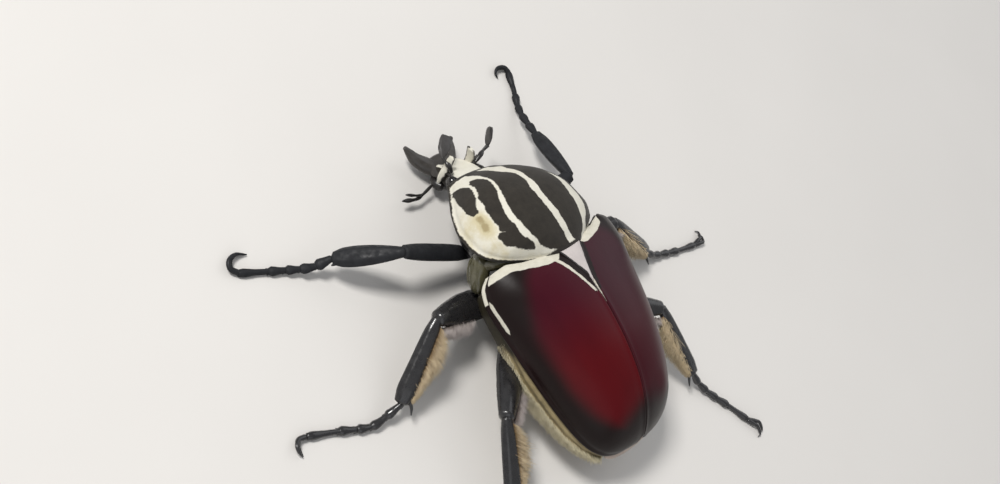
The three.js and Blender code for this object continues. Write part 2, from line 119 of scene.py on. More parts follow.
def spline(points, n):
    """Even points on a smooth curve through the given ones."""
    P = np.asarray(points, float)
    L = np.concatenate([[0], np.cumsum(np.linalg.norm(np.diff(P, axis=0), axis=1))])
    t = np.linspace(0, L[-1], n)
    out = np.zeros((n, 3))
    ext = np.vstack([2 * P[0] - P[1], P, 2 * P[-1] - P[-2]])
    for k, tt in enumerate(t):
        i = min(max(int(np.searchsorted(L, tt, side="right")) - 1, 0), len(P) - 2)
        u = (tt - L[i]) / max(L[i + 1] - L[i], 1e-9)
        a, b, c, d = ext[i], ext[i + 1], ext[i + 2], ext[i + 3]
        out[k] = 0.5 * ((2 * b) + (c - a) * u + (2 * a - 5 * b + 4 * c - d) * u * u + (3 * b - a - 3 * c + d) * u ** 3)
    return out


def arc_from(ys, zs, i0):
    c = np.concatenate([[0], np.cumsum(np.hypot(np.diff(ys), np.diff(zs)))])
    return c - c[i0]


# ------------------------------------------------------------------ mesh making
class Build:
    """Collects points and faces, with per-point values, for one piece."""

    def __init__(self):
        self.v, self.f, self.attr, self.n, self.uv = [], [], {}, 0, []

    def add(self, V, F, **attr):
        V = np.asarray(V, float).reshape(-1, 3)
        for k in set(self.attr) | set(attr):
            if k not in self.attr:
                self.attr[k] = [np.zeros(self.n)] if self.n else []
            a = attr.get(k)
            self.attr[k].append(np.zeros(len(V)) if a is None else np.broadcast_to(np.asarray(a, float).ravel(), (len(V),)) if np.size(a) in (1, len(V)) else None)
        self.v.append(V)
        self.f.extend([tuple(i + self.n for i in f) for f in F])
        self.n += len(V)
        return self

    def loft(self, G, closed=True, caps=True, **attr):
        G = np.asarray(G, float)
        nu, nv = G.shape[:2]
        F = []
        jn = nv if closed else nv - 1
        for i in range(nu - 1):
            a = i * nv
            for j in range(jn):
                k = (j + 1) % nv
                F.append((a + j, a + k, a + nv + k, a + nv + j))
        V = G.reshape(-1, 3)
        if caps and closed:
            V = np.vstack([V, G[0].mean(0), G[-1].mean(0)])
            c0, c1, base = nu * nv, nu * nv + 1, (nu - 1) * nv
            for j in range(nv):
                k = (j + 1) % nv
                F.append((c0, k, j))
                F.append((c1, base + j, base + k))
            attr = {key: np.concatenate([np.broadcast_to(np.asarray(a, float), (nu, nv)).ravel() if np.ndim(a) < 2 else np.asarray(a, float).ravel(),
                                         [np.mean(np.asarray(a, float)[0]) if np.ndim(a) == 2 else np.mean(a), np.mean(np.asarray(a, float)[-1]) if np.ndim(a) == 2 else np.mean(a)]])
                    for key, a in attr.items()}
        # turn the faces outward
        v0, vol = V.mean(0), 0.0
        for f in F[:: max(1, len(F) // 400)]:
            p = V[list(f)] - v0
            vol += float(np.dot(p[0], np.cross(p[1], p[2])))
        if vol < 0:
            F = [tuple(reversed(f)) for f in F]
        return self.add(V, F, **attr)

    def tube(self, path, radii, n=16, m=None, up=(0, 0, 1), shape=None, **attr):
        """An oval tube. radii: list of (across, up) at even stations of the path."""
        m = m or max(8, 6 * len(path))
        P = spline(path, m)
        R = np.array([r if np.ndim(r) else (r, r) for r in radii], float)
        st = np.linspace(0, 1, len(R))
        t = np.linspace(0, 1, m)
        ra, rb = curve(st, R[:, 0])(t), curve(st, R[:, 1])(t)
        T = unit(np.gradient(P, axis=0))
        upv = np.asarray(up, float)
        side = np.cross(np.broadcast_to(upv, T.shape), T)
        bad = np.linalg.norm(side, axis=1) < 0.15
        if bad.any():
            side[bad] = np.cross(np.array([1.0, 0, 0]), T[bad])
        side = unit(side)
        top = unit(np.cross(T, side))
        a = np.linspace(0, 2 * np.pi, n, endpoint=False)
        c, s = np.cos(a), np.sin(a)
        k = np.ones((m, n)) if shape is None else shape(t[:, None], a[None, :])
        # round the two ends
        G = P[:, None] + side[:, None] * (ra[:, None] * c * k)[..., None] + top[:, None] * (rb[:, None] * s * k)[..., None]
        first = P[0] + (G[0] - P[0]) * 0.55 - T[0] * min(ra[0], rb[0]) * 0.35
        last = P[-1] + (G[-1] - P[-1]) * 0.55 + T[-1] * min(ra[-1], rb[-1]) * 0.35
        G = np.concatenate([first[None], G, last[None]])
        if attr:
            attr = {key: (np.concatenate([val[:1], val, val[-1:]]) if np.ndim(val) == 2 else val) for key, val in attr.items()}
        return self.loft(G, **attr)

    def ball(self, c, r, R=None, n=24, m=16, **attr):
        th = np.linspace(0.02, np.pi - 0.02, m)
        a = np.linspace(0, 2 * np.pi, n, endpoint=False)
        G = np.stack([-np.cos(th)[:, None] * np.ones(n), np.sin(th)[:, None] * np.cos(a), np.sin(th)[:, None] * np.sin(a)], -1) * np.asarray(r, float)
        if R is not None:
            G = G @ np.asarray(R).T
        return self.loft(G + np.asarray(c, float), **attr)

    def make(self, name, material, replaces=(), smooth_shade=True):
        V = (np.vstack(self.v) + SHIFT) * MM
        me = bpy.data.meshes.new(name)
        me.from_pydata(V.tolist(), [], self.f)
        for k, parts in self.attr.items():
            at = me.attributes.new(k, "FLOAT", "POINT")
            at.data.foreach_set("value", np.concatenate([np.asarray(p, float) for p in parts]))
        me.update()
        if smooth_shade:
            me.polygons.foreach_set("use_smooth", np.ones(len(me.polygons), bool))
        me.materials.append(material)
        ob = bpy.data.objects.new(name, me)
        bpy.context.scene.collection.objects.link(ob)
        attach(ob, "root")
        if replaces:
            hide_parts(*replaces)
        return ob


# ------------------------------------------------------------------ materials
class Mat:
    def __init__(self, name, rough=0.5, **sockets):
        self.m = bpy.data.materials.new(name)
        self.m.use_nodes = True
        self.t = self.m.node_tree
        self.b = self.t.nodes["Principled BSDF"]
        self.b.inputs["Roughness"].default_value = rough
        for k, v in sockets.items():
            self.b.inputs[k.replace("_", " ")].default_value = v

    def node(self, kind, **inputs):
        n = self.t.nodes.new(kind)
        for k, v in inputs.items():
            if hasattr(n, k) and k not in n.inputs:
                setattr(n, k, v)
            else:
                n.inputs[k.replace("_", " ")].default_value = v
        return n

    def link(self, a, b):
        self.t.links.new(a, b)

    def coords(self):
        return self.node("ShaderNodeTexCoord").outputs["Object"]

    def noise(self, scale, detail=4.0, rough=0.55, vec=None):
        n = self.node("ShaderNodeTexNoise", Scale=scale, Detail=detail, Roughness=rough)
        self.link(vec or self.coords(), n.inputs["Vector"])
        return n.outputs["Fac"]

    def voronoi(self, scale):
        n = self.node("ShaderNodeTexVoronoi", Scale=scale)
        self.link(self.coords(), n.inputs["Vector"])
        return n.outputs["Distance"]

    def attr(self, name):
        return self.node("ShaderNodeAttribute", attribute_name=name).outputs["Fac"]

    def math(self, op, a, b=None, clamp=False):
        n = self.node("ShaderNodeMath")
        n.operation = op
        n.use_clamp = clamp
        for i, s in enumerate((a, b)):
            if s is None:
                continue
            if isinstance(s, (int, float)):
                n.inputs[i].default_value = s
            else:
                self.link(s, n.inputs[i])
        return n.outputs[0]

    def ramp(self, fac, lo, hi, out0=0.0, out1=1.0, interp="SMOOTHSTEP"):
        n = self.node("ShaderNodeMapRange")
        n.interpolation_type = interp
        n.inputs["From Min"].default_value = lo
        n.inputs["From Max"].default_value = hi
        n.inputs["To Min"].default_value = out0
        n.inputs["To Max"].default_value = out1
        self.link(fac, n.inputs["Value"])
        return n.outputs["Result"]

    def mix(self, fac, a, b):
        n = self.node("ShaderNodeMix")
        n.data_type = "RGBA"
        for s, idx in ((fac, 0), (a, 6), (b, 7)):
            if isinstance(s, (int, float)):
                n.inputs[idx].default_value = s
            elif isinstance(s, tuple):
                n.inputs[idx].default_value = (*s, 1.0) if len(s) == 3 else s
            else:
                self.link(s, n.inputs[idx])
        return n.outputs[2]

    def color(self, out):
        self.link(out, self.b.inputs["Base Color"])
        return self

    def rough(self, out):
        self.link(out, self.b.inputs["Roughness"])
        return self

    def bump(self, height, strength=0.3, dist=0.0002):
        n = self.node("ShaderNodeBump")
        n.inputs["Strength"].default_value = strength
        n.inputs["Distance"].default_value = dist
        self.link(height, n.inputs["Height"])
        self.link(n.outputs["Normal"], self.b.inputs["Normal"])
        return self


def lin(r, g, b):
    f = lambda c: (c / 255 / 12.92) if c <= 10 else ((c / 255 + 0.055) / 1.055) ** 2.4
    return (f(r), f(g), f(b))


def wing_material(name, tint, fore, spec):
    m = Mat(name, 0.34, Specular_IOR_Level=spec)
    n = m.noise(90, 4, 0.6)
    fine = m.noise(1500, 3, 0.6)
    # edge: the dark margins and rear, plus painted shade along the seam between the wing cases
    edge = m.math("ADD", m.attr("edge"), m.math("MULTIPLY", m.math("SUBTRACT", n, 0.5), 0.22))
    # plum toward the shoulders, redder behind the middle
    base = m.mix(m.attr("fore"), tint, fore)
    col = m.mix(m.ramp(edge, 0.0, 1.0), base, lin(26, 19, 18))
    streak = m.node("ShaderNodeTexNoise", Scale=55.0, Detail=3.0, Roughness=0.6)
    mp = m.node("ShaderNodeMapping")
    mp.inputs["Scale"].default_value = (0.25, 1.0, 1.0)
    m.link(m.coords(), mp.inputs["Vector"])
    m.link(mp.outputs["Vector"], streak.inputs["Vector"])
    col = m.mix(m.ramp(streak.outputs["Fac"], 0.4, 0.72, 0, 0.5), col, lin(34, 6, 11))
    white = m.math("ADD", m.attr("white"), m.math("MULTIPLY", m.math("SUBTRACT", m.noise(700, 3, 0.6), 0.5), 0.5))
    wf = m.ramp(white, -0.08, 0.12)
    cream = m.mix(m.noise(600, 3), lin(188, 184, 168), lin(214, 210, 198))
    col = m.mix(wf, col, cream)
    m.color(col)
    m.rough(m.ramp(wf, 0, 1, 0.34, 0.75))
    h = m.math("ADD", m.math("MULTIPLY", fine, 0.5), m.math("MULTIPLY", m.voronoi(900), 0.35))
    m.bump(h, 0.22, 0.00008)
    return m.m


def velvet_material():
    m = Mat("velvet", 0.78, Specular_IOR_Level=0.15, Sheen_Weight=0.10, Sheen_Roughness=0.5)
    n1 = m.math("MULTIPLY", m.math("SUBTRACT", m.noise(330, 4, 0.65), 0.5), 1.1)
    n2 = m.math("MULTIPLY", m.math("SUBTRACT", m.noise(1300, 3, 0.6), 0.5), 0.5)
    d = m.math("ADD", m.attr("black"), m.math("ADD", n1, n2))
    bf = m.ramp(d, -0.14, 0.14)
    stain = m.math("ADD", m.attr("stain"), m.math("MULTIPLY", m.math("SUBTRACT", m.noise(380, 4, 0.65), 0.5), 1.7))
    pale = m.mix(m.noise(420, 4, 0.6), lin(204, 200, 184), lin(220, 217, 207))
    pale = m.mix(m.ramp(stain, 0.15, 1.1, 0, 0.75), pale, lin(190, 178, 138))
    pale = m.mix(m.ramp(stain, 1.05, 1.75, 0, 0.75), pale, lin(142, 126, 88))
    dark = m.mix(m.noise(500, 3, 0.6), lin(34, 31, 28), lin(56, 52, 46))
    m.color(m.mix(bf, pale, dark))
    pile = m.math("ADD", m.math("MULTIPLY", m.noise(5200, 2, 0.6), 0.7), m.math("MULTIPLY", m.noise(1500, 2, 0.5), 0.5))
    m.bump(pile, 0.45, 0.00012)
    return m.m


def scutellum_material():
    m = Mat("scutellum_shell", 0.42, Specular_IOR_Level=0.4)
    bf = m.ramp(m.math("ADD", m.attr("black"), m.math("MULTIPLY", m.math("SUBTRACT", m.noise(700, 3, 0.6), 0.5), 0.4)), -0.1, 0.12)
    m.color(m.mix(bf, m.mix(m.noise(300, 3), lin(176, 168, 166), lin(204, 196, 192)), lin(30, 26, 25)))
    m.bump(m.noise(2400, 3, 0.6), 0.25, 0.0001)
    return m.m


def shell_material(name, a, b, rough=0.25, coat=0.3, scale=300, bump=0.25, brown=None, spec=0.5):
    m = Mat(name, rough, Specular_IOR_Level=spec, Coat_Weight=coat, Coat_Roughness=0.12)
    n = m.noise(scale, 4, 0.6)
    col = m.mix(n, a, b)
    if brown:
        col = m.mix(m.ramp(m.noise(scale * 0.4, 3), 0.5, 0.75, 0, 0.6), col, brown)
    m.color(col)
    m.rough(m.ramp(m.noise(scale * 1.7, 3), 0.3, 0.75, rough * 0.75, rough * 1.6))
    h = m.math("ADD", m.math("MULTIPLY", m.noise(2600, 3, 0.6), 0.6), m.math("MULTIPLY", m.voronoi(1100), 0.5))
    m.bump(h, bump, 0.0001)
    return m.m


def hair_material(name, a, b, root=None):
    m = Mat(name, 0.5, Specular_IOR_Level=0.35, Sheen_Weight=0.1, Sheen_Roughness=0.4)
    col = m.mix(m.noise(900, 3, 0.6), a, b)
    if root:
        col = m.mix(m.ramp(m.attr("tip"), 0.0, 0.55), root, col)
    m.color(col)
    m.bump(m.noise(4000, 2), 0.2, 0.00005)
    return m.m


WING_L = wing_material("wing_left", lin(80, 7, 14), lin(60, 10, 24), 0.15)
# the right wing case is a darker, more purple copy of the left one: painted grazing-angle sheen and shade, not a colour
# of its own
WING_R_PAINTED_SHEEN_SHADE = wing_material("wing_right_painted_sheen_shade", lin(60, 9, 20), lin(52, 14, 26), 0.2)
VELVET = velvet_material()
SCUT = scutellum_material()
BLACK = shell_material("black_shell", lin(20, 18, 17), lin(38, 35, 34), 0.3, 0.25)
LEG = shell_material("leg_shell", lin(23, 22, 23), lin(44, 43, 44), 0.26, 0.4, 420, 0.3, None, 0.45)
LEG_FORE = shell_material("fore_leg_shell", lin(26, 26, 28), lin(46, 47, 50), 0.52, 0.0, 420, 0.4, None, 0.18)
HORN = shell_material("horn_shell", lin(36, 33, 31), lin(64, 60, 56), 0.36, 0.2, 350, 0.3)
EYE = shell_material("eye_shell", lin(12, 10, 10), lin(26, 20, 18), 0.12, 0.8, 800, 0.1)
OLIVE = shell_material("olive_shell", lin(50, 48, 34), lin(96, 92, 68), 0.22, 0.6, 260, 0.3, lin(38, 34, 24))
def belly_material():
    m = Mat("belly_shell", 0.5, Specular_IOR_Level=0.35)
    pale = m.mix(m.noise(240, 4, 0.6), lin(128, 112, 78), lin(170, 154, 116))
    dark = m.mix(m.noise(300, 3, 0.6), lin(36, 33, 24), lin(64, 58, 42))
    # olive value: the real dark hind-chest plate in front, plus painted shadow along the top of the flank under the
    # wing-case edge
    f = m.math("ADD", m.attr("olive"), m.math("MULTIPLY", m.math("SUBTRACT", m.noise(260, 3, 0.6), 0.5), 0.6))
    m.color(m.mix(m.ramp(f, 0.15, 0.85), pale, dark))
    m.bump(m.math("ADD", m.math("MULTIPLY", m.noise(2600, 3, 0.6), 0.6), m.math("MULTIPLY", m.voronoi(1100), 0.5)), 0.35, 0.0001)
    return m.m


PALE = belly_material()
TAIL = shell_material("tail_plate", lin(150, 132, 124), lin(188, 170, 156), 0.45, 0.1, 420, 0.35, lin(110, 88, 72))
LASH = hair_material("pale_lash", lin(170, 160, 158), lin(204, 194, 188), lin(120, 108, 102))
CLUB = shell_material("club_shell", lin(40, 38, 37), lin(66, 63, 62), 0.45, 0.05, 500, 0.25)
GOLD = hair_material("golden_hair", lin(196, 174, 136), lin(226, 210, 180), lin(140, 112, 76))
CREAM = hair_material("cream_hair", lin(196, 184, 148), lin(226, 218, 192), lin(150, 134, 96))

# ------------------------------------------------------------------ wing cases
eW, eT, eM = curve(ELY_X, ELY_W), curve(ELY_X, ELY_T), curve(ELY_X, ELY_M)


def ely(x):
    return x * EK_L, eW(x) * EK_W, eT(x) * EK_H + BODY_RAISE, eM(x) * EK_H + BODY_RAISE


FRONT = curve([0, 4, 7.5, 11.2, 13.3, 15.5, 17.7, 20.7, 24.5], [3.7, 3.7, 4.0, 4.6, 5.2, 6.0, 6.8, 6.6, 5.8])
BAND_L = curve([0, 5, 7.5, 11.2, 13.3, 15.5, 17.7, 20.7, 24.5], [1.8, 2.2, 2.4, 2.2, 2.0, 2.2, 2.2, 2.0, 1.3])
BAND_R = curve([0, 5, 6.4, 10.1, 13, 15.0, 16.4, 24.5], [1.4, 1.7, 1.9, 1.75, 1.6, 1.3, 0.0, 0.0])
STRIP = curve([-9.8, -5.8, -1.6, 2.1, 5.4], [0.9, 2.35, 4.2, 5.8, 7.2])
STREAK = curve([-8, -4.1, -0.9, 1.3], [2.3, 2.2, 1.9, 1.5])
DARK = curve([-47, -43.5, -40, -33, -24, -12, -6, 0, 4, 6], [16, 13.5, 9.6, 7.6, 7.0, 7.4, 9.2, 11.4, 12.8, 12.8])


def wing_case(side, name, material):
    nx, ns = 150, 90
    t = np.linspace(0, 1, nx)
    xs = -46.9 + (5.4 + 46.9) * (1 - np.cos(np.pi * t)) / 2 * 0.35 + (5.4 + 46.9) * t * 0.65
    band = BAND_L if side > 0 else BAND_R
    rows, E, Wt, Fo = [], [], [], []
    for x in xs:
        X, w, top, mar = ely(x)
        notch = 1.5 * smooth(-45.6, -46.9, x) ** 2
        y0 = 0.06 + notch
        s0 = min(0.9, y0 / w)
        sv = s0 + (1 - s0) * np.sin(np.pi / 2 * np.linspace(0, 1, ns))
        z = mar + (top - mar) * np.sqrt(np.clip(1 - sv ** 2.3, 0, 1))
        y = w * sv
        arc = arc_from(y, z, 0)
        mg = arc[-1] - arc
        # front edge runs forward toward the shoulder
        lead = FRONT(y) - 5.34
        adv = smooth(-2, 5.4, x) * lead
        X_ = X + adv
        # shoulder knob, rear knob, raised seam and rolled margin
        k = 0.55 * bump(X, -2.0, 5.0) * bump(y, 17.5, 3.6) + 0.5 * bump(X, -38, 4.0) * bump(y, 9.5, 3.4)
        k += 0.10 * bump(y, y0 + 0.2, 0.4) - 0.06 * bump(y, y0 + 1.4, 0.9) - 0.25 * bump(y, y0, 0.10)
        k += 0.20 * bump(mg, 0.3, 0.45) - 0.14 * bump(mg, 1.3, 0.6)
        k -= 0.30 * smooth(4.0, 5.4, x) ** 2
        nrm_y, nrm_z = sv ** 1.6, np.sqrt(np.clip(1 - sv ** 2.6, 0, 1))
        y = y + k * nrm_y
        z = z + k * nrm_z
        wi, ti = w - 1.1, top - 1.1
        si = sv[::-1]
        yi = wi * np.clip(si, y0 / wi if wi > 0 else 0, 1)
        zi = mar + 0.05 + (ti - mar) * np.sqrt(np.clip(1 - si ** 2.3, 0, 1))
        rim = np.stack([X_[-1:], [(y[-1] + yi[0]) / 2], [mar - 0.28]], -1)
        outer = np.stack([X_, y, z], -1)
        inner = np.stack([np.broadcast_to(X, si.shape) + adv[::-1], yi, zi], -1)
        ring = np.vstack([outer, rim, inner])
        ring[:, 1] *= side
        rows.append(ring)
        # colour from wine to near black, by distance in from the margin; the last term below adds painted shade along
        # the seam
        D = float(DARK(x))
        edge = smooth(D + 4.2, D - 3.0, mg) * 0.96
        edge = np.maximum(edge, smooth(-34.5, -44.5, x + 0.35 * (y - 6)) * 0.98)
        seat = float(STRIP(X)) if side > 0 else 0.74 * float(STRIP(X)) - 0.3
        edge = np.maximum(edge, 1.4 * smooth(seat + 0.5, seat + 0.2, y) * smooth(-9.8, -9.2, X))
        # painted shade: a narrow darker strip along the seam between the two wing cases
        edge = np.maximum(edge, 0.25 * smooth(0.6, 0.1, y - y0))
        # pale band along the front, its tail down the outer side, streak behind the shoulder, strips by the scutellum
        fr = X_
        d_front = band(y) - ((5.34 + lead) - fr)
        d_front = np.where(y < 5.2, d_front - (5.2 - y) * 0.8, d_front)
        if side > 0:
            d_front = d_front - 2.2 * np.maximum(0, 2.3 - mg)
        d_tail = np.minimum(1.15 - mg, (X_ - 0.9) * 0.7)
        d_streak = 0.52 - np.abs(mg - STREAK(X)) - 0.5 * np.maximum(0, X - 0.2) - 0.5 * np.maximum(0, -6.6 - X)
        d_strip = (0.50 + 0.02 * X - np.abs(y - STRIP(X))) * 0.92 - 1.5 * np.maximum(0, -9.6 - X) - (0 if side > 0 else 3)
        d_sut = np.where((X < -6.5) & (X > -13), 0.30 * (13 + X) / 6.5 - (y - y0), -3)
        pale = np.maximum.reduce([d_front, d_tail, d_streak, d_strip, d_sut])
        E.append(np.concatenate([edge, [1.0], np.ones(ns)]))
        Wt.append(np.concatenate([pale, [-2.0], np.full(ns, -2.0)]))
        Fo.append(np.full(len(ring), float(smooth(-26, -4, x))))
    b = Build()
    b.loft(np.array(rows), edge=np.array(E), white=np.array(Wt), fore=np.array(Fo))
    return b.make(name, material, (name.replace("_skin", ""),))


wing_case(1, "elytron_left_skin", WING_L)
# right wing case: its darker, more purple tint is painted grazing-angle sheen and shade
wing_case(-1, "elytron_right_skin", WING_R_PAINTED_SHEEN_SHADE)

# ------------------------------------------------------------------ pronotum
pW, pT, pM = curve(PRO_X, PRO_W), curve(PRO_X, PRO_T), curve(PRO_X, PRO_M)


def pro(x):
    return x * PK_L, pW(x) * PK_W, pT(x) * PK_H, pM(x) * PK_H + PRO_LIFT


# outlines of the dark bands on the plate: (along, out from the midline over the curve), mm
SPOT = [(26.1, 14.2), (25.6, 12.6), (24.2, 12.4), (22.9, 13.0), (20.3, 15.6), (18.5, 17.2), (16.7, 18.5), (16.5, 19.8),
        (18.3, 20.0), (20.5, 18.9), (22.8, 17.5), (25.3, 15.5)]
OUTER = [(25.5, 9.5), (24.9, 8.5), (23.4, 8.4), (21.8, 9.0), (19.7, 10.3), (16.9, 12.4), (14.6, 13.7), (12.0, 14.3),
         (9.9, 14.5), (8.8, 14.0), (6.8, 13.9), (5.0, 13.1), (3.0, 11.2), (2.4, 11.2), (3.0, 13.0), (4.4, 15.2),
         (5.5, 16.6), (6.1, 17.7), (7.2, 18.1), (8.5, 18.7), (8.8, 18.0), (8.4, 16.4), (9.6, 17.5), (10.7, 16.8),
         (12.3, 16.9), (14.2, 16.8), (15.7, 16.5), (17.5, 15.5), (19.9, 14.2), (22.1, 12.3), (24.5, 10.5)]
MID_L = [(29.8, 3.4), (27.4, 3.2), (25.4, 3.5), (23.3, 3.2), (21.1, 1.9), (18.8, 2.2), (15.0, 3.9), (11.9, 3.7), (8.2, 3.4),
         (4.4, 2.7), (1.3, 1.7), (-0.4, 1.2), (-0.2, 3.2), (0.9, 6.3), (2.6, 8.8), (5.2, 10.4), (7.8, 11.5),
         (9.7, 11.9), (11.5, 11.9), (13.9, 11.4), (15.9, 10.7), (17.7, 9.6), (20.8, 8.0), (23.3, 6.7), (26.9, 5.9), (29.8, 6.0)]
MID_R = [(29.8, -4.4), (28.0, -2.4), (26.1, -3.1), (24.2, -1.4), (21.4, -1.3), (18.1, -0.6), (13.4, 0.3), (10.0, -0.1), (6.2, -0.5),
         (1.9, -1.5), (0.3, -2.7), (0.3, -4.3), (1.8, -6.1), (4.6, -6.9), (8.4, -7.3), (12.8, -7.8), (17.2, -8.0),
         (20.3, -7.4), (22.6, -6.2), (26.1, -5.4), (29.8, -6.0)]


def signed(px, py, poly):
    """Distance into a closed outline: above zero inside."""
    P = np.asarray(poly, float)
    best, inside = np.full(np.shape(px), 1e9), np.zeros(np.shape(px), bool)
    for (ax, ay), (bx, by) in zip(P, np.roll(P, -1, 0)):
        ex, ey = bx - ax, by - ay
        t = np.clip(((px - ax) * ex + (py - ay) * ey) / (ex * ex + ey * ey), 0, 1)
        best = np.minimum(best, np.hypot(px - ax - t * ex, py - ay - t * ey))
        cross = (ay > py) != (by > py)
        inside ^= cross & (px < ex * (py - ay) / (ey if abs(ey) > 1e-9 else 1e-9) + ax)
    return np.where(inside, best, -best)


def pronotum():
    nx, ns = 170, 241
    t = np.linspace(0, 1, nx)
    xs = -1 + 30.5 * (0.75 * t + 0.25 * (1 - np.cos(np.pi * t)) / 2)
    sv = np.sin(np.pi / 2 * np.linspace(-1, 1, ns))
    rows, XX, AA, MG = [], [], [], []
    for x in xs:
        X, w, top, mar = pro(x)
        y = w * sv
        z = mar + (top - mar) * np.sqrt(np.clip(1 - np.abs(sv) ** PRO_EXP, 0, 1))
        A = arc_from(y, z, ns // 2)
        m = A[-1] - np.abs(A)
        # bead along the side margin and round the ends, shallow groove inside it
        k = 0.34 * bump(m, 0.35, 0.5) - 0.2 * bump(m, 1.5, 0.7)
        k += 0.28 * bump(x, -0.4, 0.7) - 0.2 * bump(x, 1.2, 0.9) + 0.26 * bump(x, 29.1, 0.6) - 0.2 * bump(x, 27.7, 0.9)
        z = z + k * np.sqrt(np.clip(1 - np.abs(sv) ** 3, 0, 1))
        y = y + k * np.sign(sv) * np.abs(sv) ** 3
        yb = w * sv[::-1][1:-1]
        zb = mar - 0.45 - 0.9 * (1 - (sv[::-1][1:-1]) ** 2)
        ring = np.vstack([np.stack([np.full(ns, X), y, z], -1), np.stack([np.full(ns - 2, X), yb * 0.985, zb], -1)])
        rows.append(in_pro(ring))
        AA.append(np.concatenate([A, np.full(ns - 2, 99.0)]))
        MG.append(np.concatenate([m, np.full(ns - 2, -1.0)]))
        XX.append(np.full(len(ring), x))
    XX, AA, MG = np.array(XX), np.array(AA), np.array(MG)
    d = np.maximum.reduce([signed(XX, AA, p) + g for p, g in ((SPOT, 0.30), (OUTER, 0.34), (MID_L, 0.60), (MID_R, 0.72))]
                          + [signed(XX, -AA + 1.5, p) + g for p, g in ((SPOT, 0.40), (OUTER, 0.60))])
    # dark lip all round: along the sides, the front collar and the rear edge
    d = np.maximum.reduce([d, 0.72 - MG, 1.05 - (29.5 - XX) * 1.1, 0.78 - (XX + 1.0) * 0.9])
    d = np.where(MG < 0, 1.5, d)
    side = np.abs(AA)
    st = 0.95 * bump(XX, 14.8, 1.2) * bump(AA, 19.3, 1.2) + 1.0 * bump(XX, 12.0, 1.3) * bump(AA, 19.8, 1.1) + 0.45 * bump(XX, 13, 3.4) * bump(AA, 19.4, 3.0)
    st = st + 0.5 * smooth(15.5, 19.5, side) * smooth(23, 15, XX) + 0.3 * smooth(8, 1, XX) * smooth(7, 12, side)
    b = Build()
    b.loft(np.array(rows), black=d, stain=st)
    return b.make("pronotum_skin", VELVET, ("pronotum",))


pronotum()

# ------------------------------------------------------------------ scutellum
def scutellum():
    b = Build()
    n = 60
    rows, D = [], []
    for t in np.linspace(0, 1, n):
        x = -6.9 + 10.4 * t
        w = 0.12 + 4.1 * t ** 1.12
        z = ely(x / EK_L)[2]
        s = np.linspace(-1, 1, 41)
        topz = z + 0.05 + 0.28 * (1 - s ** 2) * min(1, w) - 0.12 * bump(np.abs(s), 0.8, 0.12)
        ring = np.vstack([np.stack([np.full(41, x), w * s, topz], -1), np.stack([np.full(3, x), w * np.array([0.9, 0, -0.9]), np.full(3, z - 0.9)], -1)])
        rows.append(ring)
        m = w * (1 - np.abs(s))
        D.append(np.concatenate([np.where(w < 0.5, -0.3, 0.42 * smooth(-6.9, -4, x) + 0.1 - m), [1, 1, 1]]))
    b.loft(np.array(rows), black=np.array(D))
    return b.make("scutellum_skin", SCUT, ("scutellum",))


scutellum()

# ------------------------------------------------------------------ trunk
bellyZ = curve(BELLY_X, BELLY_Z)
# the flank: drawn in and sloping under the shoulders, full and square behind
FLANK_IN = curve([-46, -42, -30, -20, -12, -6, 0, 6], [0.6, 0.2, -0.4, -0.3, 0.9, 1.9, 2.3, 2.4])
FLANK_POW = curve([-46, -42, -30, -20, -12, -6, 0, 6], [0.6, 0.42, 0.32, 0.34, 0.5, 0.7, 0.85, 0.9])


def trunk_ring(x, nu=40, nl=80):
    X, w, top, mar = ely(x)
    wi, ti = w - 1.8, top - 1.9
    s = np.sin(np.pi / 2 * np.linspace(-1, 1, nu))
    up = np.stack([np.full(nu, X), wi * s, mar + (ti - mar) * np.sqrt(np.clip(1 - np.abs(s) ** 2.3, 0, 1))], -1)
    zb, tp = float(bellyZ(x)), mar - 0.8
    wl, pw = w - float(FLANK_IN(x)), float(FLANK_POW(x))
    a = np.pi * (np.arange(nl) + 0.5) / nl
    c, q = np.cos(a), np.sin(a)
    low = np.stack([np.full(nl, X), wl * np.sign(c) * np.abs(c) ** pw, tp - (tp - zb) * q ** 0.8], -1)
    return up, low


def trunk():
    b = Build()
    rows, O = [], []
    for x in np.concatenate([np.linspace(-45.2, -40, 22), np.linspace(-39.6, 4.8, 120)]):
        up, low = trunk_ring(x)
        # belly rings: shallow steps along the abdomen, and the broad hind-chest plate in front
        ring_no = (-x - 14) / 5.4
        step = 0.0
        if x < -14:
            ph = ring_no % 1.0
            step = 0.35 * (ph - 0.5) + 0.22 * bump(ph, 0.0, 0.08)
        low = low.copy()
        cy = low[:, 1]
        depth = smooth(0.2, 1.0, 1 - (low[:, 2] - low[:, 2].min()) / max(np.ptp(low[:, 2]), 1e-6))
        low[:, 2] -= step * depth * 0.8
        low[:, 1] += np.sign(cy) * step * 0.5 * (1 - depth)
        if x > -14:
            low[:, 2] += 0.5 * bump(cy, 0, 0.7) * depth - 0.3 * bump(cy, 0, 3.0) * depth
        rows.append(np.vstack([up, low]))
        # olive value: dark chest plate in front, plus painted shadow in a strip just under the wing-case margin
        O.append(np.full(len(up) + len(low), float(smooth(-15, -6, x))) + np.concatenate([np.zeros(len(up)), 0.55 * bump(low[:, 2], low[:, 2].max() - 0.6, 1.0)]))
    b.loft(np.array(rows), olive=np.array(O))
    return b.make("abdomen_skin", PALE, ("abdomen",))


trunk()

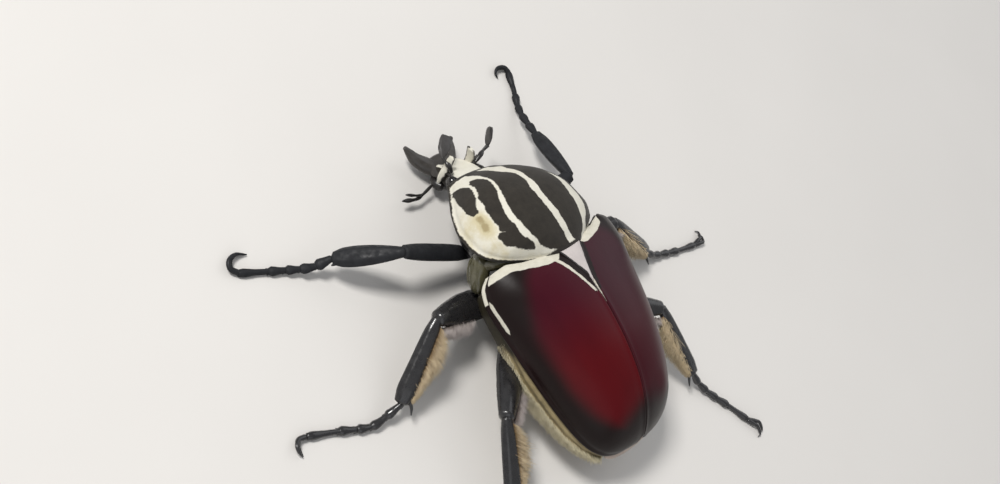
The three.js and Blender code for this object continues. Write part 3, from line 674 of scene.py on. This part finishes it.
def pygidium():
    """Rear plate under the wing-case tips: a broad shield, bowed out, flattened a little along its top and underside
    toward the tip, with faint ripples.
    """
    b = Build()
    prof = [(-44.6, 9.2, 2.1, 11.6), (-45.4, 9.4, 2.4, 11.4), (-46.4, 8.6, 2.3, 11.1), (-47.2, 6.2, 1.9, 10.7), (-47.7, 3.0, 1.1, 10.3)]
    P = np.array(prof)
    st = np.linspace(0, 1, len(P))
    f = [curve(st, P[:, k]) for k in range(4)]
    rows = []
    a = np.linspace(0, 2 * np.pi, 72, endpoint=False)
    for t in np.linspace(0, 1, 30):
        x, w, h, z = (float(g(t)) for g in f)
        k = 1 + 0.03 * np.cos(a * 2) - 0.05 * bump(np.abs(np.cos(a)), 0.0, 0.14) * smooth(0.2, 0.8, t)
        ripple = 0.10 * math.sin(t * 9)
        rows.append(np.stack([np.full(72, x * EK_L - 0.1), (w + ripple) * np.cos(a) * 0.99, z - 0.4 + (h + ripple * 0.4) * np.sin(a) * k], -1))
    b.loft(np.array(rows))
    return b.make("pygidium_skin", TAIL, ("pygidium",))


pygidium()


def prothorax_under():
    floor = curve([4.5, 8, 15, 22, 26.5], [-17.5, -21, -22, -20, -17.5])
    rows = []
    n = 60
    for x in np.linspace(4.6, 26.4, 70):
        X, w, top, mar = pro(x)
        w = w - 2.4
        s = np.linspace(-1, 1, n)
        upper = np.stack([np.full(n, X), w * s, np.full(n, mar - 1.2)], -1)
        deep = mar - 1.3 - floor(x)
        c = np.cos(np.pi * np.linspace(0, 1, n))[::-1][1:-1][::-1]
        low = np.stack([np.full(n - 2, X), w * 0.985 * c, mar - 1.6 - (deep - 0.4) * (1 - c ** 2) ** 0.66], -1)
        low[:, 2] -= 0.5 * bump(low[:, 1], 0, 1.2) * bump(x, 12, 4)
        rows.append(in_pro(np.vstack([upper, low])))
    b = Build()
    b.loft(np.array(rows))
    return b.make("prothorax_under_skin", BLACK, ("prothorax_under",))


prothorax_under()


def shoulder_plate(side, nm):
    b = Build()
    long = unit([-8.2, 3.5 * side, -6.0])
    out = unit(np.cross(long, unit(np.cross([0, 0.77 * side, -0.63], long))))
    third = np.cross(long, out)
    mid = np.array([9.2, side * 17.6, 17.4])
    # the right plate is drawn in under the shoulder, so it is flatter and narrower
    thin = 1.0 if side > 0 else 0.74
    b.ball(mid, (5.6, 2.6 * thin, 3.3 * thin), R=np.stack([long, out, third], 1), n=44, m=32)
    # folds that run the length of the plate
    for k, r in ((-1.7, 0.34), (0.1, 0.42), (1.7, 0.36)):
        fold = [mid + long * 5.0 * t + third * k * thin * (1 - 0.3 * t * t) + out * 2.5 * thin * math.sqrt(max(0.02, 1 - 0.95 * t * t - (k / 3.6) ** 2)) for t in np.linspace(-0.84, 0.84, 9)]
        b.tube(fold, [(0.1, 0.1), (r, r * 0.8), (r * 1.1, r * 0.9), (r, r * 0.8), (0.1, 0.1)], n=14, m=40)
    # collar between the plate over the thorax and the wing cases
    b.tube([(9.6, side * 17.4, 19.0), (8.0, side * 15.6, 23.2), (6.9, side * 11.0, 26.2), (6.3, side * 6.0, 27.8), (6.1, side * 1.0, 28.2)],
           [(1.3, 1.6), (1.3, 1.6), (1.2, 1.5), (1.1, 1.3), (0.9, 1.1)], n=24, m=40)
    return b.make(f"shoulder_plate_{nm}_skin", OLIVE, (f"shoulder_plate_{nm}",))


shoulder_plate(1, "left")
shoulder_plate(-1, "right")

# ------------------------------------------------------------------ head
hW = curve([-2, 0, 3, 6, 9, 11.5, 13], [4.0, 4.6, 4.9, 4.4, 4.3, 3.8, 2.6])
hT = curve([-2, 0, 3, 6, 9, 11.5, 13], [-1.2, -0.2, 0.2, 0.1, -0.3, -0.9, -1.4])
hB = curve([-2, 0, 3, 6, 9, 11.5, 13], [-5.4, -6.2, -6.4, -6.0, -5.0, -3.8, -2.8])


def head():
    b = Build()
    rows, Bk, St = [], [], []
    n = 96
    a = np.linspace(0, 2 * np.pi, n, endpoint=False)
    c, s = np.cos(a), np.sin(a)
    for x in np.linspace(-2, 13.0, 80):
        w, t, bt = float(hW(x)), float(hT(x)), float(hB(x))
        m, h = (t + bt) / 2, (t - bt) / 2
        y = w * np.sign(c) * np.abs(c) ** 0.7
        z = m + h * np.sign(s) * np.abs(s) ** 0.7
        # hollowed forehead between raised side keels
        ridge = 0.55 * bump(np.abs(y), w - 0.9, 0.7) * smooth(2, 6, x) * smooth(12.5, 9, x)
        z = z + np.where(s > 0, ridge - 0.45 * bump(y, 0, 2.0) * smooth(1, 5, x) * smooth(12.5, 8, x), 0)
        rows.append(in_head(np.stack([np.full(n, x), y, z], -1)))
        dark = np.where(s > 0.15, -1.2 + 2.2 * smooth(10.0, 12.6, x), 1.2)
        dark = np.where((s > 0.15) & (np.abs(y) > w - 0.55), np.maximum(dark, 0.3), dark)
        Bk.append(dark)
        St.append(np.zeros(n))
    b.loft(np.array(rows), black=np.array(Bk), stain=np.array(St))
    return b.make("head_skin", VELVET, ("head",))


head()


def lobes():
    """The two raised pale lobes in front of the eyes, dark along their hind rim."""
    for side, nm in ((1, "left"), (-1, "right")):
        b = Build()
        n, m = 28, 44
        P = [(34.8, side * 3.9 - 0.3, 4.9), (35.5, side * 4.5 - 0.3, 7.6), (36.1, side * 4.5 - 0.3, 10.3),
             (36.9, side * 4.0 - 0.3, 12.7), (37.6, side * 3.4 - 0.3, 14.3)]
        a = np.linspace(0, 2 * np.pi, n, endpoint=False)
        hind = 0.9 * np.cos(a - math.pi) if side > 0 else 0.9 * np.cos(a)
        # dark along both edges, pale on the two broad faces
        dark = np.broadcast_to(np.maximum(hind - 0.62, 0.9 * np.abs(np.cos(a)) - 0.80)[None, :], (m, n)) - 0.0
        size = 0.86 if side > 0 else 1.12
        b.tube(P, [(0.6 * size, 0.45), (0.95 * size, 0.55), (1.15 * size, 0.6), (1.3 * size, 0.58), (1.12 * size, 0.46)], n=n, m=m,
               up=(0, 1.0, 0), black=dark, stain=0.0)
        b.make(f"head_lobe_{nm}", VELVET)


lobes()

FORK, HORN_L, HORN_R = np.array([41.2, -0.9, 4.6]), np.array([46.8, 7.1, 5.2]), np.array([44.4, -8.2, 5.2])


def horn():
    b = Build()
    b.tube([(35.4, -0.7, 6.9), (37.4, -0.8, 5.5), (39.4, -0.9, 4.6), (41.4, -0.9, 4.3)],
           [(4.3, 2.0), (4.8, 2.3), (4.6, 2.0), (3.4, 1.3)], n=40, m=44, shape=lambda t, a: 1 - 0.06 * np.sin(a) * np.abs(np.cos(a)))
    for tip, sd in ((HORN_L, 1), (HORN_R, -1)):
        lean = np.array([0.0 if sd > 0 else -1.4, 0.0, 0.0])
        at = lambda x, y, z: np.array([x, sd * y - 0.6, z]) + lean * (x - 38) / 8
        b.tube([at(38.6, 2.2, 4.5), at(40.8, 4.1, 4.1), at(43.0, 5.8, 4.1), at(45.0, 6.8, 4.6), tip],
               [(2.3, 1.7), (2.3, 1.65), (1.95, 1.6), (1.35, 1.2), (0.55, 0.5)], n=32, m=52)
    return b.make("horn_skin", HORN, ("horn",))


horn()


def eyes():
    for side, nm in ((1, "left"), (-1, "right")):
        b = Build()
        c = in_head((2.9, side * 5.1 + 0.45, -1.9))
        b.ball(c, (1.6, 1.35, 1.6), n=44, m=30)
        b.make(f"eye_{nm}_skin", EYE, (f"eye_{nm}",))
        # narrow brow that runs forward from the eye along the side of the head
        b = Build()
        wide = [4.75, 4.95, 4.9, 4.6, 4.3]
        brow = [in_head((x, side * w + 0.2, -0.55)) for x, w in zip((1.0, 2.4, 3.8, 5.2, 6.4), wide)]
        b.tube(brow, [(0.15, 0.15), (0.3, 0.24), (0.36, 0.26), (0.3, 0.24), (0.12, 0.12)], n=14, m=40)
        b.make(f"eye_brow_{nm}", BLACK)


eyes()

FEELERS = {
    "left": dict(base=(34.6, 4.2, 12.4), elbow=(37.4, 5.0, 13.4), neck=(38.8, 5.2, 13.6), tip=(43.1, 1.1, 14.2), flat=1.62, deep=0.8),
    "right": dict(base=(34.5, -4.8, 11.7), elbow=(36.3, -8.6, 12.6), neck=(36.9, -10.6, 13.0), tip=(40.7, -13.8, 13.5), flat=0.72, deep=1.1),
}


def feelers():
    for nm, f in FEELERS.items():
        P = {k: np.array(v, float) for k, v in f.items() if k in ("base", "elbow", "neck", "tip")}
        b = Build()
        b.tube([P["base"], P["base"] + (P["elbow"] - P["base"]) * 0.5 + [0, 0, 0.3], P["elbow"]], [(0.4, 0.4), (0.62, 0.6), (0.7, 0.65), (0.35, 0.35)], n=14, m=20)
        for i in range(4):
            q = P["elbow"] + (P["neck"] - P["elbow"]) * (i + 0.5) / 4
            b.ball(q, (0.42 + 0.05 * i, 0.42 + 0.04 * i, 0.4), n=14, m=10)
        b.make(f"feeler_{nm}_skin", BLACK, (f"feeler_{nm}",))
        b = Build()
        d = P["tip"] - P["neck"]
        across = unit(np.cross(d, [0, 0, 1.0]))
        for i in range(3):
            off = np.array([0, 0, 0.42]) * (i - 1) if f["flat"] > 1 else across * 0.42 * (i - 1)
            k = f["flat"] * (1 - 0.06 * abs(i - 1))
            thin = f["deep"] * 0.42 if f["flat"] > 1 else f["deep"]
            wide = k if f["flat"] > 1 else 0.26
            b.tube([P["neck"] + off * 0.3, P["neck"] + d * 0.35 + off, P["neck"] + d * 0.75 + off, P["tip"] + off * 0.8],
                   [(wide * 0.35, thin * 0.7), (wide * 0.8, thin), (wide, thin), (wide * 1.0, thin), (wide * 0.85, thin * 0.8)], n=22, m=30)
        b.make(f"feeler_club_{nm}_skin", CLUB, (f"feeler_club_{nm}",))


feelers()

PALPS = {"left": [(35.2, 5.0, 3.9), (34.2, 8.6, 3.3), (33.9, 11.2, 3.2), (34.9, 15.2, 3.3)],
         "right": [(35.0, -5.8, 3.9), (35.2, -9.4, 3.3), (36.0, -12.2, 3.2), (37.6, -14.2, 3.3)]}


def palps():
    for nm, P in PALPS.items():
        b = Build()
        b.tube(P, [(0.34, 0.34), (0.45, 0.42), (0.36, 0.34), (0.5, 0.45), (0.42, 0.4), (0.62, 0.5), (0.22, 0.2)], n=14, m=44)
        if nm == "left":
            q = [np.array(P[1]), np.array(P[2]) + [0.6, -0.2, 0.9], np.array(P[3]) + [0.9, -1.2, 1.0]]
        else:
            q = [np.array(P[1]), np.array(P[2]) + [0.8, 0.9, 0.5], np.array(P[3]) + [0.6, 1.9, 0.4]]
        b.tube(q, [(0.25, 0.25), (0.36, 0.34), (0.3, 0.3), (0.42, 0.4), (0.2, 0.2)], n=12, m=26)
        b.make(f"palp_{nm}_skin", BLACK, (f"palp_{nm}",))


palps()


def mouth():
    """Chin plate and the two blunt jaws under the head."""
    b = Build()
    b.ball((34.6, -0.7, 4.7), (3.4, 4.2, 2.3), R=rot("Y", 20), n=40, m=26)
    for side in (1, -1):
        b.tube([(33.6, side * 3.6 - 0.5, 4.8), (35.6, side * 4.0 - 0.6, 3.9), (37.6, side * 3.0 - 0.7, 3.3)], [(1.4, 1.4), (1.5, 1.4), (1.1, 1.0), (0.5, 0.5)], n=24, m=26)
    return b.make("mouth_parts", BLACK)


mouth()

# ------------------------------------------------------------------ legs
LEGS = {
    "front_left": dict(root=(15.4, 10.5, 8.4), knee=(21.9, 31.4, 14.6), ankle=(29.4, 43.5, 5.6),
                       foot=[(30.1, 48.1, 3.0), (32.8, 54.3, 1.1), (36.6, 64.2, 0.75)],
                       claws=[(39.0, 64.6, 1.2), (39.9, 60.2, 0.35)], spread=(0, 1.6, 0)),
    "middle_left": dict(root=(3.0, 15.0, 8.8), knee=(4.5, 33.4, 14.6), ankle=(-7.8, 47.4, 4.6),
                        foot=[(-8.5, 51.1, 2.5), (-8.6, 55.7, 1.2), (-5.6, 63.3, 0.85), (-2.9, 70.8, 0.75)],
                        claws=[(-3.9, 73.8, 1.2), (-6.2, 73.4, 0.35)], spread=(1.5, 0.4, 0)),
    "hind_left": dict(root=(-8.5, 11.5, 7.8), knee=(-23.4, 31.0, 14.2), ankle=(-44.0, 36.5, 4.6),
                      foot=[(-47.4, 38.2, 2.4), (-52.0, 40.4, 1.2), (-59.0, 43.8, 0.85), (-66.0, 46.6, 0.75)],
                      claws=[(-69.0, 48.6, 1.2), (-71.2, 47.2, 0.35)], spread=(0.5, 1.5, 0)),
    "front_right": dict(root=(16.4, -11.5, 8.0), knee=(20.2, -29.4, 13.4), ankle=(35.6, -34.6, 5.6),
                        foot=[(42.3, -37.0, 2.6), (46.0, -39.0, 1.2), (49.6, -40.9, 0.9), (56.0, -43.2, 0.75)],
                        claws=[(58.4, -42.4, 1.2), (57.4, -39.8, 0.35)], spread=(1.4, -0.9, 0)),
    "middle_right": dict(root=(3.0, -15.0, 7.6), knee=(3.4, -33.6, 14.2), ankle=(-7.6, -48.0, 4.6),
                         foot=[(-9.4, -51.4, 2.5), (-10.6, -55.8, 1.2), (-12.4, -63.4, 0.85), (-13.6, -70.8, 0.75)],
                         claws=[(-13.4, -73.9, 1.2), (-11.0, -74.4, 0.35)], spread=(1.5, 0.2, 0)),
    "hind_right": dict(root=(-8.5, -11.5, 7.8), knee=(-22.6, -31.4, 14.2), ankle=(-42.6, -38.0, 4.6),
                       foot=[(-45.8, -40.0, 2.4), (-50.0, -42.6, 1.2), (-56.4, -46.8, 0.85), (-62.8, -50.4, 0.75)],
                       claws=[(-65.6, -52.6, 1.2), (-68.0, -51.4, 0.35)], spread=(0.6, -1.5, 0)),
}
THICK = {"front": 2.2, "middle": 3.45, "hind": 3.5}
SHIN = {"front": 2.45, "middle": 2.2, "hind": 2.25}
HOOKS = {
    "front_left": [(36.7, 64.1, 0.9), (38.2, 65.3, 1.1), (40.0, 64.5, 1.2), (40.7, 62.2, 1.0), (39.8, 59.5, 0.4)],
    "middle_left": [(-2.9, 71.0, 0.9), (-2.7, 72.7, 1.1), (-3.9, 73.8, 1.2), (-5.1, 73.9, 0.9), (-6.4, 73.5, 0.3)],
    "front_right": [(55.6, -43.2, 0.9), (57.3, -42.5, 1.1), (57.9, -40.4, 1.1), (57.0, -38.7, 0.9), (55.4, -38.9, 0.3)],
}


def fringe_side(name, side):
    """Which side of the shin, as a sign along its side vector, carries the long hair."""
    kind, hand = name.split("_")
    want = np.array([-1.0, 0, 0]) if kind != "hind" else np.array([0, -1.0 if hand == "left" else 1.0, 0])
    return 1.0 if np.dot(side, want) > 0 else -1.0


def leg(name, L):
    kind = name.split("_")[0]
    T, S = THICK[kind], SHIN[kind]
    root, knee, ankle = (np.array(L[k], float) for k in ("root", "knee", "ankle"))
    # femur: stout, flattened, with a soft ridge
    b = Build()
    up = (0, 0, 1)
    b.tube([root + (knee - root) * t for t in (0.0, 0.3, 0.6, 0.85, 0.99)],
           [(p[0] * T, p[1] * T) for p in ([(0.7, 0.55), (0.96, 0.68), (1, 0.7), (1, 0.7), (0.95, 0.68), (0.78, 0.6)] if kind == "front" else
                                           [(0.88, 0.62), (1.1, 0.7), (1.1, 0.7), (0.98, 0.69), (0.80, 0.63), (0.56, 0.5)])],
           n=36, m=56, up=up, shape=lambda t, a: 1 + 0.03 * np.cos(4 * a))
    # the rounded hip joint that seats the thigh in the underside
    hand = 1.0 if name.endswith("left") else -1.0
    hip = {"front": ((0.0, -2.6, 1.0), (2.5, 4.2, 2.3)), "middle": ((0.2, -1.8, 0.2), (3.0, 3.6, 2.4)), "hind": ((0.8, -1.2, 0.1), (3.4, 4.2, 2.4))}[kind]
    b.ball(root + np.array([hip[0][0], hip[0][1] * hand, hip[0][2]]), hip[1], n=30, m=20)
    finish = LEG_FORE if kind == "front" else LEG
    b.make(f"femur_{name}_skin", finish, (f"femur_{name}",))
    # tibia: a ribbed tube with end spurs
    b = Build()
    d = ankle - knee
    u = unit(d)
    prof = {"front": [(0.5, 0.48), (0.74, 0.58), (0.9, 0.62), (1.02, 0.64), (1.06, 0.64), (1.0, 0.58), (0.66, 0.46)],
            "middle": [(0.55, 0.5), (0.84, 0.62), (0.92, 0.64), (0.98, 0.64), (1.06, 0.66), (1.12, 0.66), (0.85, 0.55)],
            "hind": [(0.55, 0.5), (0.84, 0.62), (0.95, 0.64), (1.02, 0.66), (1.08, 0.66), (1.12, 0.66), (0.85, 0.55)]}[kind]
    b.tube([knee + d * t for t in (0.0, 0.25, 0.5, 0.75, 0.985)], [(p[0] * S, p[1] * S) for p in prof],
           n=36, m=64, shape=lambda t, a: 1 + 0.045 * np.cos(6 * a) * smooth(0.05, 0.3, t))
    side = unit(np.cross(np.array([0, 0, 1.0]), u))
    rs = fringe_side(name, side)
    spurs = ((rs * 0.85, 2.6), (rs * 0.2, 2.1)) if kind != "front" else ((rs * 0.55, 1.0),)
    for off, ln in spurs:
        base = knee + d * 0.95 + side * off * S
        out = off * (1.9 if abs(off) > 0.8 else 0.6)
        b.tube([base, base + u * ln * 0.5 + side * out * 0.6, base + u * ln + side * out + [0, 0, -0.3]], [(0.5, 0.45), (0.38, 0.34), (0.13, 0.13)], n=12, m=18)
    b.make(f"tibia_{name}_skin", finish, (f"tibia_{name}",))
    # foot: five flared joints, the last one long, then the pair of hooks
    b = Build()
    path = spline([ankle + u * 0.2] + [np.array(p, float) for p in L["foot"]], 200)
    seg = np.linalg.norm(np.diff(path, axis=0), axis=1)
    s = np.concatenate([[0], np.cumsum(seg)]) / seg.sum()
    cuts = [0.0, 0.17, 0.34, 0.50, 0.67, 1.0]
    for i in range(5):
        sel = np.where((s >= cuts[i] - 0.004) & (s <= cuts[i + 1] + 0.006))[0]
        P = path[sel]
        last = i == 4
        rad = [0.66, 0.76, 0.88, 1.02, 1.12, 0.82] if not last else [0.6, 0.66, 0.7, 0.76, 0.9, 1.0, 0.78]
        near = (1.0 + 0.22 * max(0.0, 1.0 - i / 2.0)) if kind == "front" else 1.0
        rad = [(r * 1.05 * near, min(r, 1.0)) for r in rad]
        P = P.copy()
        P[:, 2] = np.maximum(P[:, 2], 0.7)
        b.tube(P[:: max(1, len(P) // 7)] if len(P) > 7 else P, rad, n=20, m=30)
        if not last:
            e = P[-1]
            tt = unit(P[-1] - P[-3])
            sd = unit(np.cross([0, 0, 1.0], tt))
            for sg in (1, -1):
                b.tube([e + sd * sg * 0.55 - tt * 0.3, e + sd * sg * 0.85 + tt * 0.5 + [0, 0, -0.15]], [(0.24, 0.22), (0.08, 0.08)], n=8, m=6)
    end = np.array(L["foot"][-1], float)
    sp = np.array(L["spread"], float)
    k1, k2 = (np.array(c, float) for c in L["claws"])
    for sg in (1, -1):
        if name in HOOKS:
            H = np.array(HOOKS[name]) + np.array([-0.03, 0.42, 0.5]) * sg * np.array([[0.2], [0.6], [1.0], [1.0], [0.5]])
        else:
            o = sp * 0.5 * sg
            bow = (k1 + k2) / 2 + unit(k1 + k2 - 2 * end) * 0.9
            H = np.array([end + o * 0.15, end + (k1 - end) * 0.55 + o * 0.7 + [0, 0, 0.2], k1 + o, bow + o, k2 + o])
        b.tube(H, [(0.72, 0.68), (0.62, 0.58), (0.5, 0.48), (0.36, 0.34), (0.12, 0.11)], n=18, m=48)
    V = np.vstack(b.v)
    V[:, 2] = np.maximum(V[:, 2], 0.0)
    b.v = [V]
    b.make(f"tarsus_{name}_skin", finish, (f"tarsus_{name}",))


for nm, L in LEGS.items():
    leg(nm, L)

# ------------------------------------------------------------------ hair
def tufts(name, roots, dirs, lengths, width, uvs, material, droop=(0, 0, -0.15), seed=1):
    """Solid three-sided locks: a curved taper from each root, closed at both ends."""
    rng = np.random.default_rng(seed)
    roots, dirs = np.asarray(roots, float), unit(dirs)
    N = len(roots)
    side = unit(np.cross(dirs, rng.normal(size=(N, 3))))
    other = np.cross(dirs, side)
    lengths = np.broadcast_to(lengths, (N,)) * rng.uniform(0.75, 1.15, N)
    sag = np.asarray(droop, float)[None] + rng.normal(scale=0.10, size=(N, 3))
    V = np.zeros((N, 10, 3))
    lev = [(0.0, 1.0), (0.4, 0.85), (0.75, 0.55)]
    for i, (t, k) in enumerate(lev):
        c = roots + dirs * (lengths * t)[:, None] + sag * (lengths * t * t)[:, None]
        for j in range(3):
            a = 2 * np.pi * j / 3
            V[:, i * 3 + j] = c + (side * math.cos(a) + other * math.sin(a)) * width * k
    V[:, 9] = roots + dirs * lengths[:, None] + sag * lengths[:, None]
    F = [(0, 2, 1)]
    for i in range(2):
        for j in range(3):
            k = (j + 1) % 3
            F.append((i * 3 + j, i * 3 + k, i * 3 + 3 + k, i * 3 + 3 + j))
    for j in range(3):
        F.append((6 + j, 6 + (j + 1) % 3, 9))
    faces = [tuple(v + 10 * i for v in f) for i in range(N) for f in F]
    Vw = (V.reshape(-1, 3) + SHIFT) * MM
    Vw[:, 2] = np.maximum(Vw[:, 2], 0.00005)
    me = bpy.data.meshes.new(name)
    me.from_pydata(Vw.tolist(), [], faces)
    me.polygons.foreach_set("use_smooth", np.ones(len(me.polygons), bool))
    at = me.attributes.new("tip", "FLOAT", "POINT")
    at.data.foreach_set("value", np.tile([0, 0, 0, 0.4, 0.4, 0.4, 0.75, 0.75, 0.75, 1.0], N))
    lay = me.uv_layers.new(name="OFBake")
    loops = np.zeros(len(me.loops), np.int32)
    me.loops.foreach_get("vertex_index", loops)
    local = np.array([[math.cos(2 * np.pi * j / 3), math.sin(2 * np.pi * j / 3)] for j in range(3)])
    shape = np.concatenate([local * 0.0015, local * 0.0012, local * 0.0008, [[0, 0]]])
    uv = np.asarray(uvs)[loops // 10] + shape[loops % 10]
    lay.data.foreach_set("uv", uv.ravel())
    me.materials.append(material)
    ob = bpy.data.objects.new(name, me)
    bpy.context.scene.collection.objects.link(ob)
    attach(ob, "root")
    return ob


FRINGE = curve([0.05, 0.18, 0.33, 0.6, 0.85, 0.96], [0.35, 0.9, 1.0, 0.66, 0.34, 0.15])


def leg_fringe(name, L, seed):
    """Golden fringe on the inner and rear side of a tibia, thinner along the femur."""
    kind = name.split("_")[0]
    rng = np.random.default_rng(seed)
    left = name.endswith("left")
    root, knee, ankle = (np.array(L[k], float) for k in ("root", "knee", "ankle"))
    S, T = SHIN[kind], THICK[kind]
    roots, dirs, lens, uvs = [], [], [], []
    up = np.array([0, 0, 1.0])
    d = ankle - knee
    u = unit(d)
    side = unit(np.cross(up, u))
    s_in = side * fringe_side(name, side)
    n, full = {"front": (0, 0.0), "middle": (2800, 5.0), "hind": (2800, 4.8)}[kind]
    for _ in range(n):
        t = rng.uniform(0.08, 0.95)
        ang = rng.normal(scale=0.33)
        nrm = s_in * math.cos(ang) + up * math.sin(ang)
        r = S * (0.72 + 0.22 * t)
        roots.append(knee + d * t + s_in * math.cos(ang) * r + up * math.sin(ang) * r * 0.6)
        dirs.append(nrm + u * rng.uniform(0.5, 1.0))
        lens.append(full * float(FRINGE(t)))
        uvs.append((0.08 + 0.6 * t, 0.35 + 0.2 * ang))
    tufts(f"fringe_{name}", roots, dirs, np.array(lens), 0.062, uvs, GOLD, seed=seed)
    # softer, greyer lashes along the hind edge of the thigh
    roots, dirs, lens, uvs = [], [], [], []
    e = knee - root
    v = unit(e)
    fs = unit(np.cross(up, v))
    fs = fs if np.dot(fs, [-1.0, 0, 0]) > 0 else -fs
    for _ in range(2300):
        t = rng.uniform(0.34, 0.97)
        ang = rng.normal(scale=0.22) - 0.30
        roots.append(root + e * t + fs * math.cos(ang) * T * 0.84 + up * math.sin(ang) * T * 0.60)
        dirs.append(fs * math.cos(ang) + up * math.sin(ang) + v * rng.uniform(0.35, 0.6))
        lens.append(3.6 * (0.55 + 0.45 * math.sin(math.pi * t)))
        uvs.append((0.08 + 0.6 * t, 0.75 + 0.15 * ang))
    tufts(f"lash_{name}", roots, dirs, np.array(lens), 0.055, uvs, LASH, seed=seed + 20)


for i, (nm, L) in enumerate(LEGS.items()):
    if not nm.startswith("front"):
        leg_fringe(nm, L, 40 + i)


def belly_coat():
    """Short cream hair on the sides of the abdomen, below the wing-case margins."""
    for side, nm, seed in ((1, "left", 11), (-1, "right", 12)):
        rng = np.random.default_rng(seed)
        roots, dirs, uvs, lens = [], [], [], []
        for _ in range(11500):
            x = -44.5 + 36.5 * rng.uniform(0, 1) ** 0.9
            a = rng.uniform(0.035, 0.38) * math.pi
            X, w, top, mar = ely(x)
            zb, tp, wl = float(bellyZ(x)), mar - 0.8, w - float(FLANK_IN(x))
            c, q = math.cos(a), math.sin(a)
            p = np.array([X, side * wl * c ** float(FLANK_POW(x)), tp - (tp - zb) * q ** 0.8])
            nrm = unit(np.array([0, side * c, -q * 0.6]))
            taper = float(smooth(-7.5, -17, x))
            roots.append(p - nrm * 0.15)
            dirs.append(nrm * (0.04 + 0.20 * taper) + np.array([-1.0, 0, -0.5]) + rng.normal(scale=0.10, size=3))
            lens.append(rng.uniform(1.5, 2.5) * (0.45 + 0.55 * taper))
            uvs.append(((x + 46) / 52 * 0.9 + 0.05, a / math.pi))
        tufts(f"side_hair_{nm}", roots, dirs, np.array(lens), 0.062, uvs, CREAM, droop=(0, 0, -0.08), seed=seed)


belly_coat()

# ------------------------------------------------------------------ floor, light, camera
def floor():
    me = bpy.data.meshes.new("floor")
    s = 2.5
    me.from_pydata([(-s, -s, 0), (s, -s, 0), (s, s, 0), (-s, s, 0)], [], [(0, 1, 2, 3)])
    m = Mat("floor_paper", 0.85, Specular_IOR_Level=0.2)
    m.color(m.mix(m.noise(14, 3, 0.5), lin(212, 209, 205), lin(219, 216, 212)))
    m.bump(m.noise(900, 3, 0.6), 0.06, 0.0002)
    me.materials.append(m.m)
    ob = bpy.data.objects.new("floor", me)
    bpy.context.scene.collection.objects.link(ob)


floor()

CAM_R = np.array([[-0.5263, -0.6675, 0.5268], [-0.8476, 0.3621, -0.3879], [0.0682, -0.6507, -0.7563]])
CAM_T = np.array([3.445, 14.407, 320.834])


def camera():
    C = -CAM_R.T @ CAM_T + np.array([0, 0, BODY_RAISE]) + SHIFT
    cam = bpy.data.cameras.new("camera")
    cam.sensor_fit = "HORIZONTAL"
    cam.sensor_width = 36.0
    cam.lens = 45.0
    cam.clip_start = 0.005
    ob = bpy.data.objects.new("camera", cam)
    x, y, z = unit(CAM_R[0]), -unit(CAM_R[1]), -unit(CAM_R[2])
    M = Matrix([(x[0], y[0], z[0], C[0] * MM), (x[1], y[1], z[1], C[1] * MM), (x[2], y[2], z[2], C[2] * MM), (0, 0, 0, 1)])
    ob.matrix_world = M
    bpy.context.scene.collection.objects.link(ob)
    bpy.context.scene.camera = ob


camera()


def area(name, pos, target, size, power, color=(1, 1, 1)):
    li = bpy.data.lights.new(name, "AREA")
    li.energy = power
    li.size = size
    li.color = color
    ob = bpy.data.objects.new(name, li)
    ob.location = Vector(pos)
    d = Vector(target) - Vector(pos)
    ob.rotation_euler = d.to_track_quat("-Z", "Y").to_euler()
    bpy.context.scene.collection.objects.link(ob)


area("key", (0.45, 0.42, 0.75), (0, 0, 0.015), 0.22, 8.0, (1.0, 0.985, 0.96))
area("fill", (-0.7, 0.6, 0.6), (0, 0, 0.015), 0.9, 1.6, (0.95, 0.97, 1.0))
area("back", (0.1, -0.8, 0.7), (0, 0, 0.015), 0.9, 2.2, (0.97, 0.98, 1.0))

world = bpy.data.worlds.new("studio")
bpy.context.scene.world = world
world.use_nodes = True
world.node_tree.nodes["Background"].inputs["Color"].default_value = (0.95, 0.97, 1.0, 1)
world.node_tree.nodes["Background"].inputs["Strength"].default_value = 0.37
bpy.context.scene.view_settings.view_transform = "Standard"
